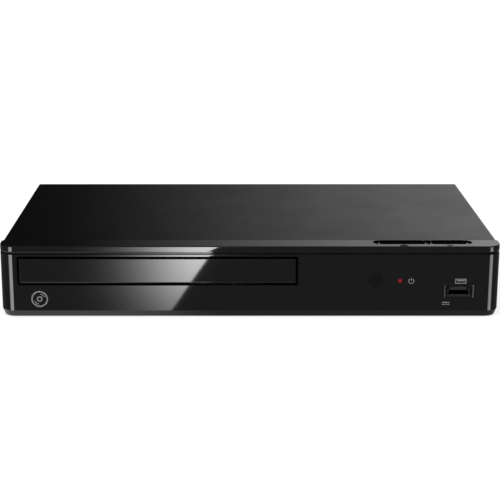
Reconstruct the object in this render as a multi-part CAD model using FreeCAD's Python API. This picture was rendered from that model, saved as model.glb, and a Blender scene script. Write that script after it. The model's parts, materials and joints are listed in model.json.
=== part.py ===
import FreeCAD, Part
import math
import os

from FreeCAD import Vector

os.makedirs("parts", exist_ok=True)

# A disc player in a low flat case. Lengths are millimetres.
# X runs across to the viewer's right, Y runs back from the front face and Z runs up from the table.
# Each saved piece is moved so that the origin is under the middle of the whole player.

# Case
case_width = 312.0
case_depth = 180.0
front_height = 44.8
foot_clearance = 1.2
corner_radius = 9.0
panel_wall = 2.2
panel_roof_thickness = 1.8
bevel_height = 3.3
bevel_depth = 1.7
groove_height = 0.8
groove_depth = 1.6
sheet = 0.8
cover_sheet = 0.7
cover_inset = 0.6
cover_drop = 0.2
cover_seam = 0.25
bend_radius = 1.4
chassis_lift = 0.8
flange_height = 9.0
flange_end = 4.0
slip = 0.3
lug_width = 12.0
lug_length = 8.0
lug_thickness = 1.6
lug_count = 4
vent_length = 22.0
vent_width = 2.4
vent_pitch = 6.0
vent_count = 7

# Top strip and its two keys
strip_depth = 15.8
strip_height = 4.3
strip_wall = 2.0
strip_rear_radius = 1.5
strip_lower_radius = 1.0
strip_upper_radius = 0.5
key_row_inset = 75.0
key_row_front = 5.7
key_depth = 9.2
open_key_width = 28.0
power_key_width = 21.3
key_spacing = 4.6
key_end_width = 3.8
key_corner_radius = 1.6
key_end_gap = 0.9
key_end_fullness = 0.8
key_pocket_radius = 1.2
key_recess = 0.8
key_sink = 0.3
key_travel = 0.5
key_gap = 0.3
key_flange = 0.7
key_rim = 0.9
key_stem_radius = 1.6
key_board_drop = 6.0
key_board_margin = 7.0
switch_size = 6.0
switch_height = 3.5
plunger_height = 1.0

# Openings in the front
door_inset = 12.4
door_width = 172.3
door_height = 15.5
door_thickness = 3.0
door_side_gap = 0.85
door_top_gap = 1.15
door_bottom_gap = 1.5
door_edge = 0.6
door_chamfer_share = 0.9
frame_chamfer = 0.9
window_inset = 77.8
window_diameter = 9.1
light_inset = 62.6
light_diameter = 3.0
eye_height = 22.75
port_inset = 25.6
port_height = 15.7
port_width = 16.6
port_tall = 7.2
port_chamfer = 0.9

# Boards and screws
board_thickness = 1.6
board_lift = 6.0
loader_gap = 7.15
board_gap = 4.1
main_board_share = 0.6
main_board_depth = 84.0
power_board_depth = 132.0
board_inset = 4.5
front_board_width = 82.0
front_board_depth = 30.0
key_board_depth = 10.0
post_radius = 3.0
screw_radius = 1.5
screw_head_radius = 2.8
screw_head_height = 1.6
screw_length = 5.0
screw_fit = 0.05
press_gap = 0.01
case_screw_inset = 22.0
usb_width = 13.2
usb_tall = 5.8
usb_depth = 14.0
usb_sheet = 0.4
usb_tongue_width = 11.0
usb_tongue_thickness = 1.9
usb_tongue_setback = 0.6
receiver_size = 6.0
receiver_dome_radius = 2.4
ribbon_thickness = 0.3
ribbon_width = 16.0
ribbon_socket_depth = 5.0
ribbon_socket_height = 2.4
ribbon_socket_inset = 7.5
ribbon_from_front = 21.5

# Parts on the boards
processor_size = 21.0
processor_height = 1.6
sink_size = 34.0
sink_height = 9.0
sink_base = 2.5
sink_fins = 8
sink_fin_thickness = 1.4
sink_inset = 10.2
memory_width = 8.0
memory_length = 12.5
memory_height = 1.1
memory_gap = 5.0
memory_from_sink = 2.0
small_capacitor_radius = 3.0
small_capacitor_height = 8.0
small_capacitor_count = 6
small_capacitor_clear = 1.7
large_capacitor_radius = 9.0
large_capacitor_height = 25.0
output_capacitor_radius = 4.0
output_capacitor_height = 13.0
output_capacitor_columns = 2
output_capacitor_rows = 2
output_capacitor_gap = 1.0
output_capacitor_from_front = 13.0
capacitor_gap = 1.2
core_from_front = 55.4
core_width = 26.0
core_length = 22.0
core_height = 18.0
core_limb = 5.0
coil_gap = 0.4
coil_overhang = 4.0
fin_plate_length = 30.0
fin_plate_from_front = 32.0
fin_plate_height = 22.0
fin_plate_thickness = 2.0
film_thickness = 0.4

# Rear sockets
hdmi_width = 15.0
hdmi_tall = 5.6
hdmi_depth = 11.0
hdmi_wall = 0.5
hdmi_tongue_width = 10.5
lan_width = 16.2
lan_tall = 13.4
lan_depth = 21.0
lan_mouth_width = 11.8
lan_mouth_tall = 8.4
lan_mouth_depth = 14.0
lan_latch_depth = 1.5
audio_width = 10.4
audio_tall = 12.6
audio_depth = 12.0
audio_ring_radius = 4.15
audio_bore_radius = 1.65
audio_end_wall = 2.7
inlet_inset = 15.1
inlet_width = 20.0
inlet_tall = 13.0
inlet_depth = 18.0
inlet_mouth_width = 14.6
inlet_mouth_tall = 8.0
inlet_mouth_depth = 12.0
inlet_pin_radius = 1.2
inlet_pin_spacing = 8.6
inlet_pin_setback = 3.0
socket_clearance = 0.3
socket_stand_out = 0.4

# Feet
foot_radius = 7.0
foot_inset_x = 28.0
foot_inset_front = 30.0
foot_inset_rear = 12.0
foot_stem_radius = 2.4
foot_bulb_radius = 3.2
foot_bulb_height = 1.2

# Disc tray
disc_diameter = 120.0
small_disc_diameter = 80.0
small_disc_step = 0.8
disc_thickness = 1.2
disc_play = 1.0
seat_height = 7.4
tray_half_width = 70.5
tray_plate = 1.8
tray_rim = 2.0
tray_rail_width = 3.5
tray_rail_drop = 3.0
tray_front_wall = 2.5
tray_slot_half_width = 24.0
tray_travel = 128.0
rack_run_out = 6.0
thumb_notch_radius = 9.0
disc_centre_y = 72.0
disc_lift = 1.2

# Loader frame
frame_front = 7.0
frame_rear = 173.0
frame_wall = 2.5
frame_floor = 1.8
frame_lift = 2.4
guide_gap = 0.3
guide_width = 4.5
guide_thickness = 2.2
retainer_length = 14.0
well_half_width = 52.0
well_front = 50.5
well_rear = 168.0
ear_length = 8.0
ear_width = 12.0
ear_inset = 16.0

# Gear train
gear_module = 1.0
addendum = 0.8
dedendum = 1.05
backlash = 0.2
pressure_angle = math.radians(20.0)
tray_gear_teeth = 24
drive_gear_teeth = 34
pulley_pinion_teeth = 14
gear_width = 3.2
gear_y = 28.0
rack_back = 2.6
rack_drop = 4.6
rack_clearance = 0.5
rack_root_overlap = 0.65
flank_steps = 4
gear_hub_radius = 4.0
axle_radius = 1.5
running_fit = 0.05
pulley_radius = 11.0
pulley_width = 3.0
pulley_flange = 0.8
motor_pulley_radius = 3.0
motor_shaft_radius = 1.0
motor_radius = 11.0
motor_height = 9.5
motor_cup_wall = 2.0
motor_boss_radius = 2.5
motor_from_gear = 35.0
belt_size = 1.2
level_gap = 0.9

# Cam slider and hinged traverse
cam_thickness = 3.0
cam_foot_depth = 6.0
cam_foot_height = 1.5
cam_travel = 18.0
cam_gap = 0.6
cam_pin_x = 28.0
cam_pin_radius = 1.5
cam_pin_root = 2.0
cam_slot_clearance = 0.15
cam_wall = 3.0
drop_angle = math.radians(3.2)
traverse_half_width = 49.0
traverse_front_gap = 3.5
traverse_rear = 160.0
traverse_ring_width = 8.0
traverse_height = 4.5
hinge_y = 163.6
hinge_pin_radius = 2.0
hinge_boss_width = 4.0
hinge_wall = 2.0
bush_radius = 4.0
bush_neck_radius = 2.6
bush_lip = 1.2
bush_rise = 2.0
bush_peg_radius = 1.2
plate_thickness = 1.2
plate_below_disc = 12.8

# Spindle, pickup and lead screw
hub_radius = 7.45
hub_above_disc = 0.4
platter_radius = 15.0
platter_thickness = 2.0
rotor_radius = 13.0
rotor_wall = 1.5
rotor_height = 5.5
rotor_gap = 0.8
neck_radius = 6.0
spindle_shaft_radius = 1.5
spindle_base_radius = 9.0
spindle_base_height = 3.5
rod_radius = 1.5
rod_half_spacing = 27.0
rod_rise = 3.8
rod_clip = 2.0
sled_travel = 35.0
lens_inner_radius = 24.0
pickup_half_width = 20.0
pickup_length = 29.0
pickup_lens_offset = 6.5
pickup_height = 12.0
pickup_below_disc = 2.6
pickup_wing = 5.0
lens_radius = 2.6
lens_height = 2.4
lens_pocket_gap = 0.5
lens_stroke = 0.4
lens_below_disc = 1.2
lead_offset = 35.0
lead_radius = 1.5
lead_rise = 4.9
lead_pitch = 3.0
lead_groove = 0.45
lead_end_radius = 1.05
follower_turns = 7.5
sled_motor_radius = 4.5
sled_motor_length = 12.0

# Clamper and its bridge
bridge_depth = 36.0
bridge_sheet = 1.2
bridge_flange = 3.0
bridge_hole_radius = 14.0
bridge_screw_inset = 6.0
clamper_radius = 16.0
clamper_play = 0.3
clamper_hole_play = 0.9
clamper_flange = 1.0
clamper_cap = 1.6

# Levels and places that follow from the sizes above

half_width = case_width / 2
panel_bottom = foot_clearance
case_top = panel_bottom + front_height
strip_bottom = case_top - strip_height
panel_top = strip_bottom - groove_height
panel_roof = panel_top - panel_roof_thickness
strip_roof = case_top - strip_wall
cover_top = case_top - cover_drop
cover_under = cover_top - cover_sheet
cover_half = half_width - cover_inset
chassis_bottom = panel_bottom + chassis_lift
chassis_top = chassis_bottom + sheet
chassis_half = cover_half - cover_sheet - slip
chassis_front = strip_depth + slip
rear_face = case_depth - cover_sheet
rear_inner = rear_face - sheet
origin_y = (case_depth + screw_head_height) / 2

door_left = door_inset - half_width
door_right = door_left + door_width
door_top = panel_roof - door_top_gap
door_bottom = door_top - door_height
eye_z = panel_bottom + eye_height
port_z = panel_bottom + port_height
key_row_left = half_width - key_row_inset
window_x = half_width - window_inset
light_x = half_width - light_inset
port_x = half_width - port_inset
loader_x = (door_left + door_right) / 2

disc_seat = door_bottom + seat_height
tray_top = disc_seat + tray_rim
tray_under = disc_seat - tray_plate
rail_bottom = tray_under - tray_rail_drop
recess_radius = disc_diameter / 2 + disc_play
disc_plane = disc_seat + disc_lift
hub_height = disc_thickness + hub_above_disc
tray_rear = gear_y + tray_travel + rack_run_out

frame_bottom = chassis_top + frame_lift
deck = frame_bottom + frame_floor
frame_inner = tray_half_width + guide_gap
frame_half = frame_inner + frame_wall
guide_top = rail_bottom - guide_gap
retainer_bottom = tray_top + guide_gap
frame_top = retainer_bottom + guide_thickness

tray_gear_radius = gear_module * tray_gear_teeth / 2
drive_gear_radius = gear_module * drive_gear_teeth / 2
pulley_pinion_radius = gear_module * pulley_pinion_teeth / 2
rack_outer = loader_x + frame_inner - guide_width - rack_clearance
rack_pitch_x = rack_outer - rack_back - gear_module * dedendum
tray_gear_x = rack_pitch_x - tray_gear_radius
pulley_gear_x = tray_gear_x - drive_gear_radius - pulley_pinion_radius
motor_x = pulley_gear_x - motor_from_gear
rack_bottom = tray_under - rack_drop
upper_gear_top = tray_under - level_gap
upper_gear_bottom = upper_gear_top - gear_width
motor_top = frame_bottom + motor_height
platform_top = motor_top + frame_floor
pulley_bottom = platform_top + level_gap
pulley_top = pulley_bottom + pulley_width
drive_gear_top = pulley_bottom - level_gap
drive_gear_bottom = drive_gear_top - gear_width
belt_z = pulley_bottom + pulley_width / 2

plate_top = disc_plane - plate_below_disc
plate_bottom = plate_top - plate_thickness
ring_top = plate_bottom - bush_rise
ring_bottom = ring_top - traverse_height
hinge_z = (ring_top + ring_bottom) / 2
cam_y = well_front + cam_gap
cam_back = cam_y + cam_thickness
ring_front = cam_back + traverse_front_gap
pin_y = (cam_y + cam_back) / 2
cam_drop = (hinge_y - pin_y) * math.sin(drop_angle)
rod_z = plate_top + rod_rise
lead_z = plate_top + lead_rise
lens_y = disc_centre_y + lens_inner_radius
pickup_front = lens_y - pickup_lens_offset
pickup_rear = pickup_front + pickup_length
pickup_top = disc_plane - pickup_below_disc
pickup_bottom = pickup_top - pickup_height
lens_top = disc_plane - lens_below_disc
lens_bottom = lens_top - lens_height
rod_front = pickup_front - slip * 2 - rod_clip
rod_rear = pickup_rear + sled_travel + slip * 2 + rod_clip
plate_rear = rod_rear + slip
lead_front = rod_front
lead_rear = rod_rear
follower_y = lead_front + lead_pitch * follower_turns

rear_board_bottom = chassis_top + board_lift
rear_board_top = rear_board_bottom + board_thickness
board_rear = rear_inner - slip
low_screw_z = (chassis_top + rear_board_bottom) / 2
main_board_left = loader_x + frame_half + ear_length + loader_gap
power_board_right = chassis_half - sheet - board_inset
board_room = power_board_right - main_board_left - board_gap
main_board_right = main_board_left + board_room * main_board_share
main_board_front = board_rear - main_board_depth
power_board_left = main_board_right + board_gap
power_board_front = board_rear - power_board_depth
socket_widths = (hdmi_width, lan_width, audio_width)
socket_room = main_board_right - main_board_left - sum(socket_widths)
socket_gap = socket_room / (len(socket_widths) + 1)
hdmi_x = main_board_left + socket_gap + hdmi_width / 2
lan_x = hdmi_x + (hdmi_width + lan_width) / 2 + socket_gap
audio_x = lan_x + (lan_width + audio_width) / 2 + socket_gap
inlet_x = power_board_right - inlet_inset
front_board_top = port_z - usb_tall / 2
front_board_bottom = front_board_top - board_thickness
front_board_left = window_x - receiver_size * 2
front_board_right = front_board_left + front_board_width
front_board_front = panel_wall + slip
front_board_rear = front_board_front + front_board_depth
key_board_top = panel_roof - key_board_drop
key_board_bottom = key_board_top - board_thickness
key_y = key_row_front + key_depth / 2
power_key_left = key_row_left + open_key_width + key_spacing
key_row_right = power_key_left + power_key_width
stem_bottom = key_board_top + switch_height + plunger_height + key_travel + screw_fit


# Plain shapes

def box(x0, x1, y0, y1, z0, z1):
    return Part.makeBox(x1 - x0, y1 - y0, z1 - z0, Vector(x0, y0, z0))


def post(x, y, z0, z1, radius):
    return Part.makeCylinder(radius, z1 - z0, Vector(x, y, z0))


def rod_x(x0, x1, y, z, radius):
    return Part.makeCylinder(radius, x1 - x0, Vector(x0, y, z), Vector(1, 0, 0))


def rod_y(x, y0, y1, z, radius):
    return Part.makeCylinder(radius, y1 - y0, Vector(x, y0, z), Vector(0, 1, 0))


def closed_face(points):
    return Part.Face(Part.makePolygon(points + [points[0]]))


def rounded_face(x0, x1, y0, y1, z, radius):
    turn = radius * (1 - math.sqrt(0.5))
    corners = [
        (Vector(x0 + radius, y0, z), Vector(x0 + turn, y0 + turn, z), Vector(x0, y0 + radius, z)),
        (Vector(x0, y1 - radius, z), Vector(x0 + turn, y1 - turn, z), Vector(x0 + radius, y1, z)),
        (Vector(x1 - radius, y1, z), Vector(x1 - turn, y1 - turn, z), Vector(x1, y1 - radius, z)),
        (Vector(x1, y0 + radius, z), Vector(x1 - turn, y0 + turn, z), Vector(x1 - radius, y0, z)),
    ]
    edges = []
    for place, corner in enumerate(corners):
        edges.append(Part.Arc(*corner).toShape())
        edges.append(Part.LineSegment(corner[2], corners[(place + 1) % len(corners)][0]).toShape())
    return Part.Face(Part.Wire(edges))


def rounded_block(x0, x1, y0, y1, z0, z1, radius):
    return rounded_face(x0, x1, y0, y1, z0, radius).extrude(Vector(0, 0, z1 - z0))


def standing_block(x0, x1, y0, y1, z0, z1, radius):
    flat = rounded_block(x0, x1, -z1, -z0, y0, y1, radius)
    flat.rotate(Vector(0, 0, 0), Vector(1, 0, 0), -90)
    return flat


def join(shapes):
    whole = shapes[0]
    if len(shapes) > 1:
        whole = shapes[0].fuse(shapes[1:])
    return whole.removeSplitter()


def save(name, solids):
    shape = Part.makeCompound(solids) if len(solids) > 1 else solids[0]
    shape = shape.copy()
    shape.translate(Vector(0, -origin_y, 0))
    shape.exportStep("parts/" + name + ".step")


def both_sides(distance):
    return (loader_x - distance, loader_x + distance)


# The case front: one outline serves the panel, the strip and the groove between them

def front_wire(inset, z, back):
    half = half_width - inset
    radius = corner_radius - inset
    turn = radius * math.sqrt(0.5)
    centre_x = half_width - corner_radius
    left = Part.Arc(
        Vector(-half, corner_radius, z),
        Vector(-centre_x - turn, corner_radius - turn, z),
        Vector(-centre_x, inset, z),
    )
    right = Part.Arc(
        Vector(centre_x, inset, z),
        Vector(centre_x + turn, corner_radius - turn, z),
        Vector(half, corner_radius, z),
    )
    edges = [
        Part.LineSegment(Vector(-half, back, z), Vector(-half, corner_radius, z)).toShape(),
        left.toShape(),
        Part.LineSegment(Vector(-centre_x, inset, z), Vector(centre_x, inset, z)).toShape(),
        right.toShape(),
        Part.LineSegment(Vector(half, corner_radius, z), Vector(half, back, z)).toShape(),
        Part.LineSegment(Vector(half, back, z), Vector(-half, back, z)).toShape(),
    ]
    return Part.Wire(edges)


def front_solid(inset, z0, z1, back):
    return Part.Face(front_wire(inset, z0, back)).extrude(Vector(0, 0, z1 - z0))


def flare(x0, x1, z0, z1, depth):
    wires = []
    for grow, y in ((depth, 0), (0, depth)):
        corners = [
            Vector(x0 - grow, y, z0 - grow),
            Vector(x1 + grow, y, z0 - grow),
            Vector(x1 + grow, y, z1 + grow),
            Vector(x0 - grow, y, z1 + grow),
        ]
        wires.append(Part.makePolygon(corners + [corners[0]]))
    return Part.makeLoft(wires, True, True)


def key_openings():
    return (
        (key_row_left, key_row_left + open_key_width),
        (power_key_left, power_key_left + power_key_width),
    )


def key_board_screw_places():
    reach = key_board_margin - screw_head_radius - slip
    return ((key_row_left - reach, key_y), (key_row_right + reach, key_y))


def front_board_screw_places():
    x0 = front_board_left + board_inset
    x1 = front_board_right - board_inset
    y1 = front_board_rear - board_inset
    return ((x0, y1), (x1, y1))


def front_board_rest_places():
    y0 = front_board_front + board_inset
    return ((front_board_left + board_inset, y0), (port_x - usb_width, y0))


def front_shell():
    bevel_top = panel_bottom + bevel_height
    bevel = Part.makeLoft(
        [front_wire(bevel_depth, panel_bottom, strip_depth), front_wire(0, bevel_top, strip_depth)],
        True,
        True,
    )
    shell = join([bevel, front_solid(0, bevel_top, panel_top, strip_depth)])
    return shell.cut(front_solid(panel_wall, panel_bottom + panel_wall, panel_roof, strip_depth + slip))


def cut_door_opening(shell):
    x0 = door_left - door_side_gap
    x1 = door_right + door_side_gap
    z0 = door_bottom - door_bottom_gap
    shell = shell.cut(standing_block(x0, x1, -slip, panel_wall + slip, z0, panel_roof, door_edge))
    return shell.cut(flare(x0, x1, z0, panel_roof, frame_chamfer))


def cut_port_opening(shell):
    x0 = port_x - port_width / 2
    x1 = port_x + port_width / 2
    z0 = port_z - port_tall / 2
    z1 = port_z + port_tall / 2
    shell = shell.cut(standing_block(x0, x1, -slip, panel_wall + slip, z0, z1, port_chamfer))
    return shell.cut(flare(x0, x1, z0, z1, port_chamfer / 2))


def front_panel_posts():
    posts = []
    y0 = strip_depth - panel_wall
    for place in range(lug_count):
        x = (place - (lug_count - 1) / 2) * case_width / lug_count
        posts.append(box(x - lug_width / 2, x + lug_width / 2, y0, chassis_front + lug_length,
                         chassis_top, chassis_top + lug_thickness))
    for x, y in key_board_screw_places():
        posts.append(post(x, y, key_board_top, panel_roof, post_radius))
    for x, y in front_board_rest_places():
        posts.append(post(x, y, panel_bottom + panel_wall, front_board_bottom, post_radius))
    return posts


def make_front_panel():
    shell = cut_port_opening(cut_door_opening(front_shell()))
    for x, diameter in ((window_x, window_diameter), (light_x, light_diameter)):
        shell = shell.cut(rod_y(x, -slip, panel_wall + slip, eye_z, diameter / 2 + running_fit))
    shell = join([shell] + front_panel_posts())
    for x, y in key_board_screw_places():
        shell = shell.cut(post(x, y, key_board_bottom, panel_roof, screw_radius + screw_fit))
    for x0, x1 in key_openings():
        shell = shell.cut(post((x0 + x1) / 2, key_y, panel_roof - slip, panel_top + slip,
                               key_stem_radius + key_gap))
    return shell


def pointed_pocket(tip, base):
    half = key_depth / 2
    bulge = half * key_end_fullness
    lean = (tip + base) / 2
    z = case_top - key_recess
    point = Vector(tip, key_y, z)
    rear_corner = Vector(base, key_y + half, z)
    front_corner = Vector(base, key_y - half, z)
    rear = Part.Arc(point, Vector(lean, key_y + bulge, z), rear_corner)
    front = Part.Arc(front_corner, Vector(lean, key_y - bulge, z), point)
    side = Part.LineSegment(rear_corner, front_corner)
    face = Part.Face(Part.Wire([rear.toShape(), side.toShape(), front.toShape()]))
    return face.extrude(Vector(0, 0, key_recess + slip))


def level_edges(body, z):
    edges = []
    for edge in body.Edges:
        span = edge.BoundBox
        flat = span.ZLength < slip and abs(span.ZMin - z) < slip
        if flat and span.YMin < strip_depth - strip_rear_radius - slip:
            edges.append(edge)
    return edges


def strip_body():
    body = front_solid(0, strip_bottom, case_top, strip_depth)
    rear_edges = []
    for edge in body.Edges:
        span = edge.BoundBox
        if span.YMin > strip_depth - slip and span.ZLength > slip:
            rear_edges.append(edge)
    body = body.makeFillet(strip_rear_radius, rear_edges)
    body = body.makeFillet(strip_lower_radius, level_edges(body, strip_bottom))
    return body.makeFillet(strip_upper_radius, level_edges(body, case_top))


def cut_key_row(strip):
    y0 = key_row_front - key_gap
    y1 = key_row_front + key_depth + key_gap
    for x0, x1 in key_openings():
        strip = strip.cut(rounded_block(x0 - key_gap, x1 + key_gap, y0, y1, strip_roof - slip,
                                        case_top + slip, key_corner_radius + key_gap))
    reach = key_gap + key_end_width
    strip = strip.cut(pointed_pocket(key_row_left - reach, key_row_left - key_end_gap))
    strip = strip.cut(pointed_pocket(key_row_right + reach, key_row_right + key_end_gap))
    middle = rounded_block(key_row_left + open_key_width + key_end_gap, power_key_left - key_end_gap,
                           y0, y1, case_top - key_recess, case_top + slip, key_pocket_radius)
    return strip.cut(middle)


def make_top_strip():
    neck = front_solid(groove_depth, panel_top, strip_bottom + strip_lower_radius, strip_depth)
    pocket = front_solid(groove_depth + strip_wall, panel_top - slip, strip_roof, strip_depth - strip_wall)
    return cut_key_row(join([strip_body(), neck]).cut(pocket))


def make_key(x0, x1):
    flange_top = strip_roof - key_gap
    flange_bottom = flange_top - key_flange
    cap_bottom = strip_roof + key_travel + running_fit * 2
    neck_rear = strip_depth - strip_wall - key_gap
    cap = rounded_block(x0, x1, key_row_front, key_row_front + key_depth, cap_bottom,
                        case_top - key_sink, key_corner_radius)
    neck = rounded_block(x0, x1, key_row_front, neck_rear, flange_bottom, cap_bottom, key_corner_radius)
    flange = rounded_block(x0 - key_rim, x1 + key_rim, key_row_front - key_gap * 2, neck_rear, flange_bottom,
                           flange_top, key_corner_radius)
    stem = post((x0 + x1) / 2, key_y, stem_bottom, flange_bottom + key_flange / 2, key_stem_radius)
    return join([cap, neck, flange, stem])


def make_tray_door():
    door = standing_block(door_left, door_right, 0, door_thickness, door_bottom, door_top, door_edge)
    edges = []
    for edge in door.Edges:
        if edge.BoundBox.YMax < slip:
            edges.append(edge)
    return door.makeChamfer(door_edge * door_chamfer_share, edges)


def make_window():
    return rod_y(window_x, 0, panel_wall + slip, eye_z, window_diameter / 2)


def make_light_guide():
    lens = rod_y(light_x, 0, panel_wall, eye_z, light_diameter / 2)
    collar = rod_y(light_x, panel_wall, panel_wall * 2, eye_z, light_diameter / 2 + slip * 2)
    return join([lens, collar])


# Sheet-metal case

def folded_channel(half, top, bottom, thickness, radius, y0, y1):
    below = bottom - radius * 2
    outer = rounded_face(-half, half, below, top, y0, radius)
    inner = rounded_face(-half + thickness, half - thickness, below - radius, top - thickness,
                         y0, radius - thickness)
    channel = outer.cut(inner).extrude(Vector(0, 0, y1 - y0))
    channel.rotate(Vector(0, 0, 0), Vector(1, 0, 0), 90)
    channel.translate(Vector(0, y0 + y1, 0))
    keep = box(-half - slip, half + slip, y0, y1, bottom, top + slip)
    return channel.common(keep)


def case_screw_xs():
    reach = half_width - case_screw_inset
    return (-reach, 0, reach)


def make_top_cover():
    front = strip_depth + cover_seam
    shell = folded_channel(cover_half, cover_top, chassis_bottom, cover_sheet, bend_radius,
                           front, case_depth)
    reach = cover_half - flange_end
    flange = box(-reach, reach, rear_face, case_depth, cover_top - flange_height,
                 cover_under + cover_sheet / 2)
    shell = join([shell, flange])
    z = cover_top - flange_height / 2
    for x in case_screw_xs():
        shell = shell.cut(rod_y(x, rear_face - slip, case_depth + slip, z, screw_radius + screw_fit))
    return shell


def foot_places():
    x = half_width - foot_inset_x
    y0 = foot_inset_front
    y1 = case_depth - foot_inset_rear
    return ((-x, y0), (x, y0), (-x, y1), (x, y1))


def ear_places():
    places = []
    for x in both_sides(frame_half + ear_length / 2):
        for y in (frame_front + ear_inset, frame_rear - ear_inset):
            places.append((x, y))
    return places


def corner_screws(left, right, front, rear):
    places = []
    for x in (left + board_inset, right - board_inset):
        for y in (front + board_inset, rear - board_inset):
            places.append((x, y))
    return places


def main_board_screw_places():
    return corner_screws(main_board_left, main_board_right, main_board_front, board_rear - lan_depth)


def power_board_screw_places():
    return corner_screws(power_board_left, power_board_right, power_board_front, board_rear - inlet_depth)


def rear_board_screw_places():
    return main_board_screw_places() + power_board_screw_places()


def vent_slot(x, y, z0, z1):
    return rounded_block(x - vent_width / 2, x + vent_width / 2, y - vent_length / 2, y + vent_length / 2,
                         z0, z1, vent_width / 2 - running_fit)


def chassis_posts():
    posts = []
    for places, top in (
        (ear_places(), frame_bottom),
        (rear_board_screw_places(), rear_board_bottom),
        (front_board_screw_places(), front_board_bottom),
    ):
        for x, y in places:
            posts.append((x, y, top))
    return posts


def chassis_vents():
    slots = []
    first_x = (main_board_left + main_board_right - vent_pitch * (vent_count - 1)) / 2
    for place in range(vent_count):
        slots.append(vent_slot(first_x + place * vent_pitch, main_board_front - vent_length,
                               chassis_bottom - slip, chassis_top + slip))
    return Part.makeCompound(slots)


def make_bottom_chassis():
    x = chassis_half
    side_top = chassis_bottom + flange_height
    shapes = [
        box(-x, x, chassis_front, rear_inner, chassis_bottom, chassis_top),
        box(-x, -x + sheet, chassis_front, rear_inner, chassis_bottom, side_top),
        box(x - sheet, x, chassis_front, rear_inner, chassis_bottom, side_top),
        box(-x, x, rear_inner - sheet, rear_inner, chassis_bottom, rear_board_bottom - slip),
    ]
    for px, py, top in chassis_posts():
        shapes.append(post(px, py, chassis_top, top, post_radius))
    tray = join(shapes)
    for px, py, top in chassis_posts():
        tray = tray.cut(post(px, py, chassis_bottom - slip, top + slip, screw_radius + screw_fit))
    for px, py in foot_places():
        tray = tray.cut(post(px, py, chassis_bottom - slip, chassis_top + slip, foot_stem_radius))
    for px in case_screw_xs():
        tray = tray.cut(rod_y(px, rear_inner - sheet - slip, rear_inner + slip, low_screw_z,
                              screw_radius + screw_fit))
    return tray.cut(chassis_vents())


def rear_sockets():
    return (
        (hdmi_x, hdmi_width, hdmi_tall),
        (lan_x, lan_width, lan_tall),
        (inlet_x, inlet_width, inlet_tall),
    )


def make_rear_panel():
    x = chassis_half
    panel = box(-x, x, rear_inner, rear_face, chassis_bottom, cover_under - slip)
    lip = box(-x, x, rear_inner - lug_length, rear_inner + sheet / 2, cover_under - slip - sheet,
              cover_under - slip)
    panel = join([panel, lip])
    for sx, width, tall in rear_sockets():
        half = width / 2 + socket_clearance
        panel = panel.cut(box(sx - half, sx + half, rear_inner - slip, rear_face + slip,
                              rear_board_top - socket_clearance, rear_board_top + tall + socket_clearance))
    panel = panel.cut(rod_y(audio_x, rear_inner - slip, rear_face + slip, rear_board_top + audio_tall / 2,
                            audio_ring_radius + socket_clearance))
    for sx in case_screw_xs():
        for z in (cover_top - flange_height / 2, low_screw_z):
            panel = panel.cut(rod_y(sx, rear_inner - slip, rear_face + slip, z, screw_radius + screw_fit))
    slots = []
    slot_z = cover_top - flange_height - vent_length / 2 - vent_width
    for place in range(vent_count):
        slot_x = loader_x + (place - (vent_count - 1) / 2) * vent_pitch
        slots.append(standing_block(slot_x - vent_width / 2, slot_x + vent_width / 2, rear_inner - slip,
                                    rear_face + slip, slot_z - vent_length / 2, slot_z + vent_length / 2,
                                    vent_width / 2 - running_fit))
    return panel.cut(Part.makeCompound(slots))


def make_feet():
    feet = []
    for x, y in foot_places():
        pad = post(x, y, 0, chassis_bottom, foot_radius)
        stem = post(x, y, chassis_bottom, chassis_top, foot_stem_radius - running_fit)
        bulb = post(x, y, chassis_top, chassis_top + foot_bulb_height, foot_bulb_radius)
        feet.append(join([pad, stem, bulb]))
    return feet


def screw_down(x, y, z):
    head = post(x, y, z, z + screw_head_height, screw_head_radius)
    shank = post(x, y, z - screw_length, z, screw_radius)
    return join([head, shank])


def screw_up(x, y, z):
    head = post(x, y, z - screw_head_height, z, screw_head_radius)
    shank = post(x, y, z, z + screw_length, screw_radius)
    return join([head, shank])


def screw_forward(x, y, z):
    head = rod_y(x, y, y + screw_head_height, z, screw_head_radius)
    shank = rod_y(x, y - screw_length, y, z, screw_radius)
    return join([head, shank])


def make_case_screws():
    screws = []
    for x in case_screw_xs():
        screws.append(screw_forward(x, case_depth, cover_top - flange_height / 2))
        screws.append(screw_forward(x, rear_face, low_screw_z))
    return screws


def make_board_screws():
    screws = []
    for x, y in rear_board_screw_places():
        screws.append(screw_down(x, y, rear_board_top))
    for x, y in front_board_screw_places():
        screws.append(screw_down(x, y, front_board_top))
    for x, y in key_board_screw_places():
        screws.append(screw_up(x, y, key_board_bottom))
    return screws


def bridge_screw_places():
    places = []
    reach = bridge_depth / 2 - bridge_screw_inset
    for x in both_sides(frame_half + post_radius):
        for y in (disc_centre_y - reach, disc_centre_y + reach):
            places.append((x, y))
    return places


def make_loader_screws():
    screws = []
    for x, y in ear_places():
        screws.append(screw_down(x, y, deck))
    for x, y in bridge_screw_places():
        screws.append(screw_down(x, y, frame_top + bridge_sheet))
    return screws


# Boards and what they carry

def screwed_board(x0, x1, y0, y1, z, places):
    board = box(x0, x1, y0, y1, z, z + board_thickness)
    for x, y in places:
        board = board.cut(post(x, y, z - slip, z + board_thickness + slip, screw_radius + screw_fit))
    return board


def make_main_board():
    return screwed_board(main_board_left, main_board_right, main_board_front, board_rear,
                         rear_board_bottom, main_board_screw_places())


def make_power_board():
    return screwed_board(power_board_left, power_board_right, power_board_front, board_rear,
                         rear_board_bottom, power_board_screw_places())


def make_front_board():
    return screwed_board(front_board_left, front_board_right, front_board_front, front_board_rear,
                         front_board_bottom, front_board_screw_places())


def make_key_board():
    return screwed_board(key_row_left - key_board_margin, key_row_right + key_board_margin,
                         key_y - key_board_depth / 2, key_y + key_board_depth / 2,
                         key_board_bottom, key_board_screw_places())


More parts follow.
